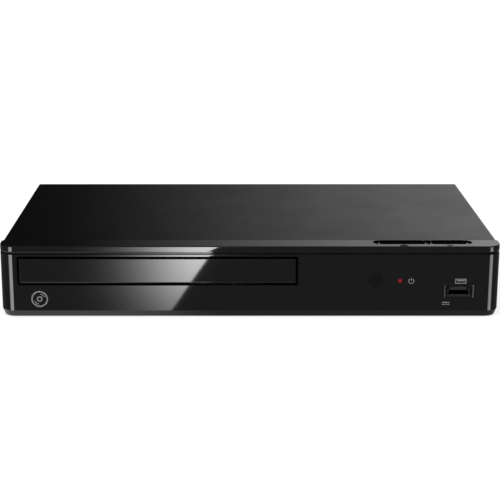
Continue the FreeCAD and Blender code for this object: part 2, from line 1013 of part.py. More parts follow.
def make_key_switches():
    switches = []
    half = switch_size / 2
    for x0, x1 in key_openings():
        x = (x0 + x1) / 2
        top = key_board_top + switch_height
        case = box(x - half, x + half, key_y - half, key_y + half, key_board_top, top)
        switches.append(join([case, post(x, key_y, top, top + plunger_height, key_stem_radius)]))
    return switches


def make_receiver():
    half = receiver_size / 2
    y0 = front_board_front + receiver_dome_radius + slip
    case = box(window_x - half, window_x + half, y0, y0 + receiver_size, front_board_top, eye_z + half)
    dome = Part.makeSphere(receiver_dome_radius, Vector(window_x, y0, eye_z))
    dome = dome.common(box(window_x - half, window_x + half, y0 - half, y0 + slip,
                           eye_z - half, eye_z + half))
    return join([case, dome])


def make_lamp():
    radius = light_diameter / 2
    y0 = panel_wall * 2 + slip
    bulb = rod_y(light_x, y0, y0 + light_diameter, eye_z, radius)
    block = box(light_x - radius, light_x + radius, y0 + light_diameter, y0 + light_diameter * 2,
                front_board_top, eye_z + radius)
    return join([bulb, block])


def make_usb_shell():
    half = usb_width / 2
    y0 = panel_wall + slip
    outer = box(port_x - half, port_x + half, y0, y0 + usb_depth, front_board_top, front_board_top + usb_tall)
    inner = box(port_x - half + usb_sheet, port_x + half - usb_sheet, y0 - slip, y0 + usb_depth - usb_sheet,
                front_board_top + usb_sheet, front_board_top + usb_tall - usb_sheet)
    return outer.cut(inner)


def make_usb_tongue():
    half = usb_tongue_width / 2
    top = front_board_top + usb_tall - usb_sheet * 2
    y0 = panel_wall + slip + usb_tongue_setback
    rear = panel_wall + slip + usb_depth - usb_sheet
    tongue = box(port_x - half, port_x + half, y0, rear, top - usb_tongue_thickness, top)
    block = box(port_x - half, port_x + half, rear - usb_tongue_thickness, rear,
                front_board_top + usb_sheet, front_board_top + usb_tall - usb_sheet)
    return join([tongue, block])


def make_hdmi_socket():
    half = hdmi_width / 2
    y1 = case_depth + socket_stand_out - cover_sheet
    y0 = y1 - hdmi_depth
    z0 = rear_board_top
    z1 = z0 + hdmi_tall
    shell = box(hdmi_x - half, hdmi_x + half, y0, y1, z0, z1)
    mouth = box(hdmi_x - half + hdmi_wall, hdmi_x + half - hdmi_wall, y0 + hdmi_wall, y1 + slip,
                z0 + hdmi_wall, z1 - hdmi_wall)
    reach = hdmi_tongue_width / 2
    middle = (z0 + z1) / 2
    tongue = box(hdmi_x - reach, hdmi_x + reach, y0, y1 - hdmi_wall * 2, middle - hdmi_wall,
                 middle + hdmi_wall)
    return join([shell.cut(mouth), tongue])


def lan_mouth_bottom():
    return rear_board_top + (lan_tall - lan_mouth_tall) / 2


def make_lan_socket():
    half = lan_width / 2
    y1 = case_depth + socket_stand_out - cover_sheet
    body = box(lan_x - half, lan_x + half, y1 - lan_depth, y1, rear_board_top, rear_board_top + lan_tall)
    mouth_half = lan_mouth_width / 2
    z0 = lan_mouth_bottom()
    mouth = box(lan_x - mouth_half, lan_x + mouth_half, y1 - lan_mouth_depth, y1 + slip,
                z0, z0 + lan_mouth_tall)
    latch = box(lan_x - mouth_half / 2, lan_x + mouth_half / 2, y1 - lan_mouth_depth / 2, y1 + slip,
                z0 - lan_latch_depth, z0 + slip)
    return body.cut(mouth).cut(latch)


def make_audio_socket():
    half = audio_width / 2
    z = rear_board_top + audio_tall / 2
    front = rear_inner - slip - audio_depth
    body = box(audio_x - half, audio_x + half, front, rear_inner - slip,
               rear_board_top, rear_board_top + audio_tall)
    ring = rod_y(audio_x, rear_inner - slip * 2, case_depth, z, audio_ring_radius)
    bore = rod_y(audio_x, front + audio_end_wall, case_depth + slip, z, audio_bore_radius)
    return join([body, ring]).cut(bore)


def make_mains_inlet():
    half = inlet_width / 2
    y1 = case_depth + socket_stand_out - cover_sheet
    z = rear_board_top + inlet_tall / 2
    body = box(inlet_x - half, inlet_x + half, y1 - inlet_depth, y1,
               rear_board_top, rear_board_top + inlet_tall)
    reach = inlet_mouth_width / 2
    rise = inlet_mouth_tall / 2
    body = body.cut(standing_block(inlet_x - reach, inlet_x + reach, y1 - inlet_mouth_depth, y1 + slip,
                                   z - rise, z + rise, rise - running_fit))
    pins = []
    for x in (inlet_x - inlet_pin_spacing / 2, inlet_x + inlet_pin_spacing / 2):
        pins.append(rod_y(x, y1 - inlet_mouth_depth - slip, y1 - inlet_pin_setback, z, inlet_pin_radius))
    return join([body] + pins)


def processor_place():
    return ((main_board_left + main_board_right) / 2, main_board_front + sink_inset + sink_size / 2)


def make_processor():
    x, y = processor_place()
    half = processor_size / 2
    return box(x - half, x + half, y - half, y + half, rear_board_top, rear_board_top + processor_height)


def make_heat_sink():
    x, y = processor_place()
    half = sink_size / 2
    z0 = rear_board_top + processor_height
    parts = [box(x - half, x + half, y - half, y + half, z0, z0 + sink_base)]
    pitch = (sink_size - sink_fin_thickness) / (sink_fins - 1)
    for place in range(sink_fins):
        x0 = x - half + place * pitch
        parts.append(box(x0, x0 + sink_fin_thickness, y - half, y + half, z0, z0 + sink_height))
    return join(parts)


def make_memory():
    x, y = processor_place()
    chips = []
    y0 = y + sink_size / 2 + memory_from_sink
    for x0 in (x - memory_gap / 2 - memory_length, x + memory_gap / 2):
        chips.append(box(x0, x0 + memory_length, y0, y0 + memory_width, rear_board_top,
                         rear_board_top + memory_height))
    return chips


def make_small_capacitors():
    cans = []
    x = main_board_right - board_inset
    screw_ys = [place[1] for place in main_board_screw_places()]
    reach = screw_head_radius + small_capacitor_clear + small_capacitor_radius
    first = min(screw_ys) + reach
    pitch = (max(screw_ys) - reach - first) / (small_capacitor_count - 1)
    for place in range(small_capacitor_count):
        y = first + place * pitch
        cans.append(post(x, y, rear_board_top, rear_board_top + small_capacitor_height,
                         small_capacitor_radius))
    return cans


def power_line_x():
    return (power_board_left + power_board_right) / 2


def core_middle_y():
    return power_board_front + core_from_front


def make_core():
    x = power_line_x()
    y = core_middle_y()
    z0 = rear_board_top + coil_overhang
    half = core_width / 2
    outer = box(x - half, x + half, y - core_length / 2, y + core_length / 2, z0, z0 + core_height)
    z1 = z0 + core_height
    windows = []
    gap_left = x - half + core_limb
    gap_right = x + half - core_limb
    middle = core_limb / 2
    for x0, x1 in ((gap_left, x - middle), (x + middle, gap_right)):
        windows.append(box(x0, x1, y - core_length, y + core_length, z0 + core_limb / 2, z1 - core_limb / 2))
    return outer.cut(Part.makeCompound(windows))


def make_coil():
    x = power_line_x()
    y = core_middle_y()
    z0 = rear_board_top + coil_overhang + core_limb / 2 + coil_gap
    z1 = rear_board_top + coil_overhang + core_height - core_limb / 2 - coil_gap
    half = core_width / 2 - core_limb - coil_gap
    reach = core_length / 2 + coil_overhang
    ring = rounded_block(x - half, x + half, y - reach, y + reach, z0, z1, half / 2)
    inner = core_limb / 2 + coil_gap
    ring = ring.cut(box(x - inner, x + inner, y - core_length / 2 - coil_gap,
                        y + core_length / 2 + coil_gap, z0 - slip, z1 + slip))
    legs = []
    for y0 in (y - reach, y + reach - coil_overhang / 2):
        legs.append(box(x - half, x + half, y0, y0 + coil_overhang / 2, rear_board_top, (z0 + z1) / 2))
    return join([ring] + legs)


def make_large_capacitor():
    y = core_middle_y() + core_length / 2 + coil_overhang + large_capacitor_radius + capacitor_gap
    return post(power_line_x(), y, rear_board_top, rear_board_top + large_capacitor_height,
                large_capacitor_radius)


def make_output_capacitors():
    cans = []
    pitch = output_capacitor_radius * 2 + output_capacitor_gap
    for row in range(output_capacitor_rows):
        y = power_board_front + output_capacitor_from_front + row * pitch
        for column in range(output_capacitor_columns):
            x = power_line_x() + (column - (output_capacitor_columns - 1) / 2) * pitch
            cans.append(post(x, y, rear_board_top, rear_board_top + output_capacitor_height,
                             output_capacitor_radius))
    return cans


def make_fin_plate():
    x = power_line_x()
    y0 = power_board_front + fin_plate_from_front
    return box(x - fin_plate_length / 2, x + fin_plate_length / 2, y0, y0 + fin_plate_thickness,
               rear_board_top, rear_board_top + fin_plate_height)


def make_film():
    film = box(power_board_left, power_board_right, power_board_front, rear_inner - sheet - slip,
               chassis_top, chassis_top + film_thickness)
    holes = [(x, y, post_radius) for x, y in power_board_screw_places()]
    holes += [(x, y, foot_bulb_radius) for x, y in foot_places()]
    for x, y, radius in holes:
        film = film.cut(post(x, y, chassis_top - slip, chassis_top + film_thickness + slip, radius + slip))
    return film


def ribbon_ends():
    x = front_board_left + ribbon_width + slip * 2
    front = (x, front_board_rear - ribbon_socket_inset, front_board_top)
    main = (x, main_board_front + ribbon_socket_depth, rear_board_top)
    return front, main


def loader_ribbon_y():
    return main_board_front + ribbon_from_front


def make_ribbon_sockets():
    sockets = []
    half = ribbon_width / 2 + slip * 2
    for x, y, z in ribbon_ends():
        sockets.append(box(x - half, x + half, y - ribbon_socket_depth / 2, y + ribbon_socket_depth / 2,
                           z, z + ribbon_socket_height))
    y = loader_ribbon_y()
    x0 = main_board_left + slip
    sockets.append(box(x0, x0 + ribbon_socket_depth, y - half, y + half, rear_board_top,
                       rear_board_top + ribbon_socket_height))
    x1 = loader_x + frame_half + slip
    sockets.append(box(x1, x1 + ribbon_socket_depth, y - half, y + half, deck, deck + ribbon_socket_height))
    return sockets


def make_front_ribbon():
    front, main = ribbon_ends()
    half = ribbon_width / 2
    top = front_board_top + ribbon_socket_height + ribbon_thickness
    first = front[1]
    last = main[1]
    x0 = front[0] - half
    x1 = front[0] + half
    runs = [box(x0, x1, first, last, top - ribbon_thickness, top)]
    drop = rear_board_top + ribbon_socket_height
    runs.append(box(x0, x1, last - ribbon_thickness, last, drop, top))
    return join(runs)


def make_loader_ribbon():
    y = loader_ribbon_y()
    half = ribbon_width / 2
    x0 = loader_x + frame_half + ribbon_socket_depth / 2
    x1 = main_board_left + slip + ribbon_socket_depth / 2
    z = rear_board_top + ribbon_socket_height * 2
    return join([
        box(x0, x0 + ribbon_thickness, y - half, y + half, deck + ribbon_socket_height, z),
        box(x0, x1, y - half, y + half, z - ribbon_thickness, z),
        box(x1 - ribbon_thickness, x1, y - half, y + half, rear_board_top + ribbon_socket_height, z),
    ])


# Disc tray

def make_disc_tray():
    x0, x1 = both_sides(tray_half_width)
    tray = box(x0, x1, door_thickness, tray_rear, tray_under, tray_top)
    front_reach = tray_half_width + door_thickness
    f0, f1 = both_sides(front_reach)
    front = box(f0, f1, door_thickness, door_thickness + tray_front_wall, rail_bottom - guide_thickness,
                tray_top + tray_rim)
    rails = []
    for r0, r1 in ((x0, x0 + tray_rail_width), (x1 - tray_rail_width, x1)):
        rails.append(box(r0, r1, door_thickness, tray_rear, rail_bottom, tray_under))
    rack_top = tray_under + tray_plate / 2
    back = box(rack_outer - rack_back, rack_outer, door_thickness, tray_rear, rack_bottom, rack_top)
    tray = join([tray, front, back] + rails)
    tray = tray.cut(post(loader_x, disc_centre_y, disc_seat, tray_top + slip, recess_radius))
    step = disc_seat - small_disc_step
    tray = tray.cut(post(loader_x, disc_centre_y, step, tray_top, small_disc_diameter / 2 + disc_play))
    s0, s1 = both_sides(tray_slot_half_width)
    tray = tray.cut(box(s0, s1, disc_centre_y, tray_rear + slip, tray_under - slip, tray_top + slip))
    tray = tray.cut(post(loader_x, disc_centre_y, tray_under - slip, tray_top + slip, tray_slot_half_width))
    for x in both_sides(recess_radius):
        tray = tray.cut(post(x, disc_centre_y, disc_seat, tray_top + slip, thumb_notch_radius))
    return join([tray, rack_teeth()])


# Gears: involute flanks on the pitch circle, with a little play between meshing teeth

def involute(angle):
    return math.tan(angle) - angle


def gear_face(x, y, z, teeth, first_tooth):
    pitch = gear_module * teeth / 2
    base = pitch * math.cos(pressure_angle)
    tip = pitch + gear_module * addendum
    root = pitch - gear_module * dedendum
    half_tooth = math.pi / (2 * teeth) - backlash / (4 * pitch) + involute(pressure_angle)
    start = max(base, root)
    flank = []
    for step in range(flank_steps + 1):
        radius = start + (tip - start) * step / flank_steps
        flank.append((radius, half_tooth - involute(math.acos(min(1, base / radius)))))
    outline = [(root, flank[0][1])] if root < start else []
    outline += flank
    points = []
    for tooth in range(teeth):
        middle = first_tooth + tooth * 2 * math.pi / teeth
        for radius, offset in outline:
            points.append((radius, middle - offset))
        for radius, offset in reversed(outline):
            points.append((radius, middle + offset))
    return closed_face([Vector(x + r * math.cos(a), y + r * math.sin(a), z) for r, a in points])


def gear(x, y, z0, z1, teeth, first_tooth):
    return gear_face(x, y, z0, teeth, first_tooth).extrude(Vector(0, 0, z1 - z0))


def rack_teeth():
    pitch = math.pi * gear_module
    slope = math.tan(pressure_angle)
    high = gear_module * addendum
    low = gear_module * dedendum + rack_root_overlap
    half_tip = pitch / 4 - backlash / 4 - high * slope
    half_root = pitch / 4 - backlash / 4 + low * slope
    teeth = []
    first = gear_y - pitch * (0.5 + math.floor((gear_y - frame_front) / pitch - 1))
    count = math.floor((tray_rear - half_root - first) / pitch) + 1
    for place in range(count):
        y = first + place * pitch
        face = closed_face([
            Vector(rack_pitch_x - high, y - half_tip, rack_bottom),
            Vector(rack_pitch_x - high, y + half_tip, rack_bottom),
            Vector(rack_pitch_x + low, y + half_root, rack_bottom),
            Vector(rack_pitch_x + low, y - half_root, rack_bottom),
        ])
        teeth.append(face.extrude(Vector(0, 0, rack_drop + tray_plate / 2)))
    return Part.makeCompound(teeth)


def make_tray_gear():
    hole = axle_radius + running_fit
    wheel = join([
        gear(tray_gear_x, gear_y, drive_gear_bottom, drive_gear_top, drive_gear_teeth, math.pi),
        post(tray_gear_x, gear_y, drive_gear_top, upper_gear_bottom, gear_hub_radius),
        gear(tray_gear_x, gear_y, upper_gear_bottom, upper_gear_top, tray_gear_teeth, 0),
    ])
    return wheel.cut(post(tray_gear_x, gear_y, drive_gear_bottom - slip, upper_gear_top + slip, hole))


def grooved_pulley(x, y, radius):
    wheel = post(x, y, pulley_bottom, pulley_top, radius + pulley_flange)
    groove = post(x, y, belt_z - belt_size / 2 - running_fit, belt_z + belt_size / 2 + running_fit,
                  radius + pulley_flange + slip)
    core = post(x, y, pulley_bottom, pulley_top, radius)
    return join([wheel.cut(groove), core])


def make_pulley_gear():
    gap_first = math.pi / pulley_pinion_teeth
    wheel = join([
        gear(pulley_gear_x, gear_y, drive_gear_bottom, drive_gear_top, pulley_pinion_teeth, gap_first),
        post(pulley_gear_x, gear_y, drive_gear_top, pulley_bottom, gear_hub_radius),
        grooved_pulley(pulley_gear_x, gear_y, pulley_radius),
    ])
    return wheel.cut(post(pulley_gear_x, gear_y, drive_gear_bottom - slip, pulley_top + slip,
                          axle_radius + running_fit))


def make_motor_pulley():
    wheel = grooved_pulley(motor_x, gear_y, motor_pulley_radius)
    shaft = post(motor_x, gear_y, motor_top - motor_height / 2, pulley_top, motor_shaft_radius)
    return join([wheel, shaft])


def make_loading_motor():
    bottom = motor_top - motor_height
    can = post(motor_x, gear_y, bottom, motor_top, motor_radius)
    boss = post(motor_x, gear_y, motor_top, motor_top + frame_floor / 2, motor_boss_radius)
    bore = post(motor_x, gear_y, bottom + motor_height / 2 - slip, motor_top + frame_floor,
                motor_shaft_radius + running_fit)
    return join([can, boss]).cut(bore)


def belt_outline(grow):
    driven = pulley_radius + running_fit + grow
    driver = motor_pulley_radius + running_fit + grow
    lean = math.acos((driven - driver) / motor_from_gear)
    reach = Vector(math.cos(math.pi - lean), math.sin(math.pi - lean), 0)
    z = belt_z - belt_size / 2
    centres = (Vector(pulley_gear_x, gear_y, z), Vector(motor_x, gear_y, z))
    down = Vector(reach.x, -reach.y, 0)
    big_top = centres[0] + reach * driven
    big_bottom = centres[0] + down * driven
    small_top = centres[1] + reach * driver
    small_bottom = centres[1] + down * driver
    edges = [
        Part.Arc(big_bottom, centres[0] + Vector(driven, 0, 0), big_top).toShape(),
        Part.LineSegment(big_top, small_top).toShape(),
        Part.Arc(small_top, centres[1] - Vector(driver, 0, 0), small_bottom).toShape(),
        Part.LineSegment(small_bottom, big_bottom).toShape(),
    ]
    return Part.Face(Part.Wire(edges))


def make_belt():
    return belt_outline(belt_size).cut(belt_outline(0)).extrude(Vector(0, 0, belt_size))


# Loader frame

def span_x(side, near, far):
    return sorted((loader_x + side * near, loader_x + side * far))


def frame_side(side):
    wall = span_x(side, frame_inner, frame_half)
    shelf = span_x(side, frame_inner - guide_width, frame_half)
    boss = span_x(side, well_half_width, well_half_width + hinge_boss_width)
    reach = hinge_pin_radius + hinge_wall
    shapes = [
        box(*wall, frame_front, frame_rear, frame_bottom, frame_top),
        box(*shelf, frame_front, frame_rear, guide_top - guide_thickness, guide_top),
        box(*boss, hinge_y - reach, hinge_y + reach, frame_bottom, hinge_z + reach),
    ]
    for y in (frame_front, disc_centre_y - retainer_length / 2, frame_rear - retainer_length * 2):
        shapes.append(box(*shelf, y, y + retainer_length, retainer_bottom, frame_top))
    return shapes


def frame_screw_blocks():
    blocks = []
    for x, y in bridge_screw_places():
        side = 1 if x > loader_x else -1
        block = span_x(side, frame_inner, side * (x - loader_x) + post_radius)
        blocks.append(box(*block, y - post_radius, y + post_radius, frame_bottom, frame_top))
    for x, y in ear_places():
        reach = ear_length / 2 + slip
        blocks.append(box(x - reach, x + reach, y - ear_width / 2, y + ear_width / 2, frame_bottom, deck))
    ledge_x = loader_x + frame_half
    ledge_y = loader_ribbon_y()
    half = ribbon_width / 2 + frame_wall
    blocks.append(box(ledge_x - slip, ledge_x + ribbon_socket_depth + slip, ledge_y - half,
                      ledge_y + half, frame_bottom, deck))
    return blocks


def frame_drive_seats():
    cup = motor_radius + slip + motor_cup_wall
    seats = [post(motor_x, gear_y, frame_bottom, platform_top, cup)]
    for x, top in ((tray_gear_x, upper_gear_top), (pulley_gear_x, pulley_top)):
        seats.append(post(x, gear_y, frame_bottom, drive_gear_bottom - running_fit, gear_hub_radius))
        seats.append(post(x, gear_y, frame_bottom, top + running_fit, axle_radius))
    foot_front = cam_back - cam_foot_depth - cam_thickness - running_fit * 2
    left, right = cam_span()
    seats.append(box(left, right + cam_travel, foot_front - frame_floor, foot_front, deck,
                     deck + cam_foot_height + running_fit))
    return seats


def make_loader_frame():
    floor = box(*both_sides(frame_half), frame_front, frame_rear, frame_bottom, deck)
    well = box(*both_sides(well_half_width), well_front, well_rear, frame_bottom - slip, deck + slip)
    shapes = frame_side(-1) + frame_side(1) + frame_screw_blocks() + frame_drive_seats()
    frame = join([floor.cut(well)] + shapes)
    frame = frame.cut(post(motor_x, gear_y, frame_bottom - slip, motor_top, motor_radius + slip))
    frame = frame.cut(post(motor_x, gear_y, motor_top - slip, platform_top + slip, motor_boss_radius + slip))
    hole = screw_radius + screw_fit
    for x, y in ear_places():
        frame = frame.cut(post(x, y, frame_bottom - slip, deck + slip, hole))
    for x, y in bridge_screw_places():
        frame = frame.cut(post(x, y, frame_top + bridge_sheet - screw_length - slip, frame_top + slip, hole))
    ends = both_sides(well_half_width + hinge_boss_width)
    return frame.cut(rod_x(*ends, hinge_y, hinge_z, hinge_pin_radius + running_fit))


def cam_span():
    left = loader_x - cam_pin_x - cam_travel - cam_pin_radius - cam_wall
    right = loader_x + cam_pin_x + cam_pin_radius + cam_wall
    return left, right


def make_cam_slider():
    left, right = cam_span()
    top = hinge_z + cam_pin_radius + cam_slot_clearance + cam_wall
    plate = box(left, right, cam_y, cam_back, chassis_top + cam_gap, top)
    foot = box(left, right, cam_back - cam_foot_depth - cam_thickness, cam_back, deck + running_fit,
               deck + running_fit + cam_foot_height)
    slider = join([plate, foot])
    radius = cam_pin_radius + cam_slot_clearance
    for side in (-1, 1):
        x = loader_x + side * cam_pin_x
        high = Vector(x, cam_y - slip, hinge_z)
        low = Vector(x - cam_travel, cam_y - slip, hinge_z - cam_drop)
        along = (low - high).normalize()
        across = Vector(-along.z, 0, along.x) * radius
        channel = closed_face([high + across, low + across, low - across, high - across])
        depth = cam_thickness + slip * 2
        cutter = join([
            channel.extrude(Vector(0, depth, 0)),
            rod_y(high.x, high.y, high.y + depth, high.z, radius),
            rod_y(low.x, low.y, low.y + depth, low.z, radius),
        ])
        slider = slider.cut(cutter)
    return slider


# Hinged traverse with the spindle, the pickup and its drive

def bush_places():
    places = []
    for x in both_sides(traverse_half_width - traverse_ring_width / 2):
        for y in (ring_front + traverse_ring_width / 2, plate_rear - traverse_ring_width / 2):
            places.append((x, y))
    return places


def make_traverse_frame():
    x0, x1 = both_sides(traverse_half_width)
    ring = box(x0, x1, ring_front, traverse_rear, ring_bottom, ring_top)
    wide = traverse_ring_width
    ring = ring.cut(box(x0 + wide, x1 - wide, ring_front + wide / 2, traverse_rear - wide / 2,
                        ring_bottom - slip, ring_top + slip))
    parts = [ring]
    for side in (-1, 1):
        px = loader_x + side * cam_pin_x
        parts.append(rod_y(px, cam_y - slip, ring_front + cam_pin_root, hinge_z, cam_pin_radius))
        reach = loader_x + side * (well_half_width + hinge_boss_width)
        inner = loader_x + side * (traverse_half_width - wide / 2)
        arm = sorted((inner, loader_x + side * traverse_half_width))
        parts.append(box(arm[0], arm[1], traverse_rear - wide, hinge_y + hinge_pin_radius, ring_bottom,
                         ring_top))
        pin = sorted((inner, reach))
        parts.append(rod_x(pin[0], pin[1], hinge_y, hinge_z, hinge_pin_radius))
    for x, y in bush_places():
        parts.append(post(x, y, ring_top - slip, plate_top + bush_lip / 2, bush_peg_radius))
    return join(parts)


def make_bushes():
    bushes = []
    for x, y in bush_places():
        bush = join([
            post(x, y, ring_top, plate_bottom, bush_radius),
            post(x, y, plate_bottom, plate_top, bush_neck_radius),
            post(x, y, plate_top, plate_top + bush_lip, bush_radius),
        ])
        bushes.append(bush.cut(post(x, y, ring_top - slip, plate_top + bush_lip + slip,
                                    bush_peg_radius + running_fit)))
    return bushes


def make_mechanism_plate():
    x0, x1 = both_sides(traverse_half_width)
    plate = box(x0, x1, ring_front, plate_rear, plate_bottom, plate_top)
    p0, p1 = both_sides(pickup_half_width + rod_clip)
    plate = plate.cut(box(p0, p1, pickup_front - slip * 2, rod_rear - rod_clip, plate_bottom - slip,
                          plate_top + slip))
    plate = plate.cut(post(loader_x, disc_centre_y, plate_bottom - slip, plate_top + slip,
                           spindle_base_radius / 2 + running_fit))
    for x, y in bush_places():
        plate = plate.cut(post(x, y, plate_bottom - slip, plate_top + slip, bush_neck_radius + running_fit))
    tabs = []
    for x in both_sides(rod_half_spacing):
        for y in (rod_front, rod_rear - rod_clip):
            tabs.append(box(x - rod_clip, x + rod_clip, y, y + rod_clip, plate_top - plate_thickness / 2,
                            rod_z + rod_radius + rod_clip / 2))
    lead_x = loader_x + lead_offset
    tabs.append(box(lead_x - rod_clip, lead_x + rod_clip, lead_rear - rod_clip, lead_rear,
                    plate_top - plate_thickness / 2, lead_z + lead_radius + rod_clip / 2))
    motor_y = lead_front - sled_motor_length / 2 - rod_clip
    tabs.append(box(lead_x - rod_clip, lead_x + rod_clip, motor_y - rod_clip, motor_y + rod_clip,
                    plate_top - plate_thickness / 2, lead_z - sled_motor_radius))
    plate = join([plate] + tabs)
    for x in both_sides(rod_half_spacing):
        plate = plate.cut(rod_y(x, rod_front - slip, rod_rear + slip, rod_z, rod_radius + press_gap))
    return plate.cut(rod_y(lead_x, lead_rear - rod_clip - slip, lead_rear + slip, lead_z,
                           lead_end_radius + running_fit))


def make_spindle_motor():
    x = loader_x
    y = disc_centre_y
    stator = rotor_radius - rotor_wall - slip * 2
    motor = join([
        post(x, y, plate_bottom - spindle_base_height, plate_bottom, spindle_base_radius),
        post(x, y, plate_bottom, plate_top, spindle_base_radius / 2),
        post(x, y, plate_top, plate_top + rotor_gap - slip, spindle_base_radius),
        post(x, y, plate_top + rotor_gap - slip, plate_top + rotor_height - rotor_wall - slip, stator),
    ])
    return motor.cut(post(x, y, plate_bottom - spindle_base_height / 2, plate_top + rotor_height,
                          spindle_shaft_radius + running_fit))


def make_turntable():
    x = loader_x
    y = disc_centre_y
    rotor_bottom = plate_top + rotor_gap
    rotor_top = plate_top + rotor_height
    cup = post(x, y, rotor_bottom, rotor_top, rotor_radius)
    cup = cup.cut(post(x, y, rotor_bottom - slip, rotor_top - rotor_wall, rotor_radius - rotor_wall))
    hub = post(x, y, disc_plane, disc_plane + hub_height, hub_radius)
    top_edges = []
    for edge in hub.Edges:
        if edge.BoundBox.ZMin > disc_plane + hub_height - slip:
            top_edges.append(edge)
    hub = hub.makeChamfer(hub_height / 2, top_edges)
    return join([
        cup,
        post(x, y, rotor_top, disc_plane, neck_radius),
        post(x, y, disc_plane - platter_thickness, disc_plane, platter_radius),
        hub,
        post(x, y, plate_bottom - spindle_base_height / 2 + slip, rotor_top, spindle_shaft_radius),
    ])


def make_pickup():
    x0, x1 = both_sides(pickup_half_width)
    body = box(x0, x1, pickup_front, pickup_rear, pickup_bottom, pickup_top)
    w0, w1 = both_sides(rod_half_spacing + pickup_wing - rod_clip)
    wing_low = rod_z - rod_radius - rod_clip / 2
    wings = box(w0, w1, pickup_front + rod_clip, pickup_rear - rod_clip, wing_low,
                rod_z + rod_radius + rod_clip)
    arm_x = loader_x + lead_offset - lead_radius - slip
    arm = box(w1 - slip, arm_x, follower_y - rod_clip, follower_y + rod_clip, lead_z - rod_clip / 2,
              lead_z + rod_clip / 2)
    tip = rod_x(arm_x - slip, arm_x + slip + lead_groove / 2, follower_y, lead_z, lead_groove / 2)
    pickup = join([body, wings, arm, tip])
    pocket_floor = lens_bottom - lens_stroke - lens_pocket_gap * 2
    pickup = pickup.cut(post(loader_x, lens_y, pocket_floor, pickup_top + slip,
                             lens_radius + lens_pocket_gap))
    hole = rod_radius + running_fit
    pickup = pickup.cut(rod_y(loader_x - rod_half_spacing, pickup_front, pickup_rear, rod_z, hole))
    fork = box(loader_x + rod_half_spacing - hole, w1 + slip, pickup_front, pickup_rear,
               rod_z - hole, rod_z + hole)
    return pickup.cut(rod_y(loader_x + rod_half_spacing, pickup_front, pickup_rear, rod_z, hole)).cut(
        fork.common(box(w1 - rod_clip, w1 + slip, pickup_front, follower_y - rod_clip * 2,
                        rod_z - hole, rod_z + hole)))


def make_lens():
    barrel = post(loader_x, lens_y, lens_bottom, lens_top, lens_radius)
    ball = Part.makeSphere(lens_radius * 2, Vector(loader_x, lens_y, lens_top - lens_radius * 2 + slip * 2))
    return barrel.common(ball)


def make_rods():
    rods = []
    for x in both_sides(rod_half_spacing):
        rods.append(rod_y(x, rod_front, rod_rear, rod_z, rod_radius))
    return rods


def make_lead_screw():
    x = loader_x + lead_offset
    threaded = lead_rear - lead_front - rod_clip - slip
    shank = rod_y(x, lead_front, lead_front + threaded, lead_z, lead_radius)
    tail = rod_y(x, lead_front + threaded, lead_rear, lead_z, lead_end_radius)
    nose = rod_y(x, lead_front - rod_clip * 2, lead_front, lead_z, lead_end_radius)
    screw = join([shank, tail, nose])
    turns = math.ceil((follower_y + sled_travel - lead_front) / lead_pitch)
    helix = Part.makeHelix(lead_pitch, lead_pitch * turns, lead_radius)
    start = Part.Wire(Part.makeCircle(lead_groove, Vector(lead_radius, 0, 0), Vector(0, 1, 0)))
    groove = Part.Wire(helix).makePipeShell([start], True, True)
    groove.rotate(Vector(0, 0, 0), Vector(1, 0, 0), -90)
    groove.translate(Vector(x, lead_front, lead_z))
    return screw.cut(groove)


def make_sled_motor():
    x = loader_x + lead_offset
    rear = lead_front - rod_clip
    can = rod_y(x, rear - sled_motor_length, rear, lead_z, sled_motor_radius)
    bore = rod_y(x, rear - rod_clip * 2, rear + slip, lead_z, lead_end_radius + running_fit)
    return can.cut(bore)


# Clamper

def make_bridge():
    x0, x1 = both_sides(frame_half + post_radius * 2)
    y0 = disc_centre_y - bridge_depth / 2
    y1 = disc_centre_y + bridge_depth / 2
    top = frame_top + bridge_sheet
    plate = box(x0, x1, y0, y1, frame_top, top)
    ribs = []
    r0, r1 = both_sides(frame_inner - guide_width * 2)
    for y in (y0, y1 - bridge_sheet):
        ribs.append(box(r0, r1, y, y + bridge_sheet, frame_top, top + bridge_flange))
    plate = join([plate] + ribs)
    plate = plate.cut(post(loader_x, disc_centre_y, frame_top - slip, top + slip, bridge_hole_radius))
    for x, y in bridge_screw_places():
        plate = plate.cut(post(x, y, frame_top - slip, top + slip, screw_radius + screw_fit))
    return plate


def make_clamper():
    x = loader_x
    y = disc_centre_y
    bottom = disc_plane + hub_height + clamper_play
    collar = frame_top + bridge_sheet + clamper_play
    return join([
        post(x, y, bottom, bottom + clamper_flange, clamper_radius),
        post(x, y, bottom, collar, bridge_hole_radius - clamper_hole_play),
        post(x, y, collar, collar + clamper_cap, clamper_radius),
    ])


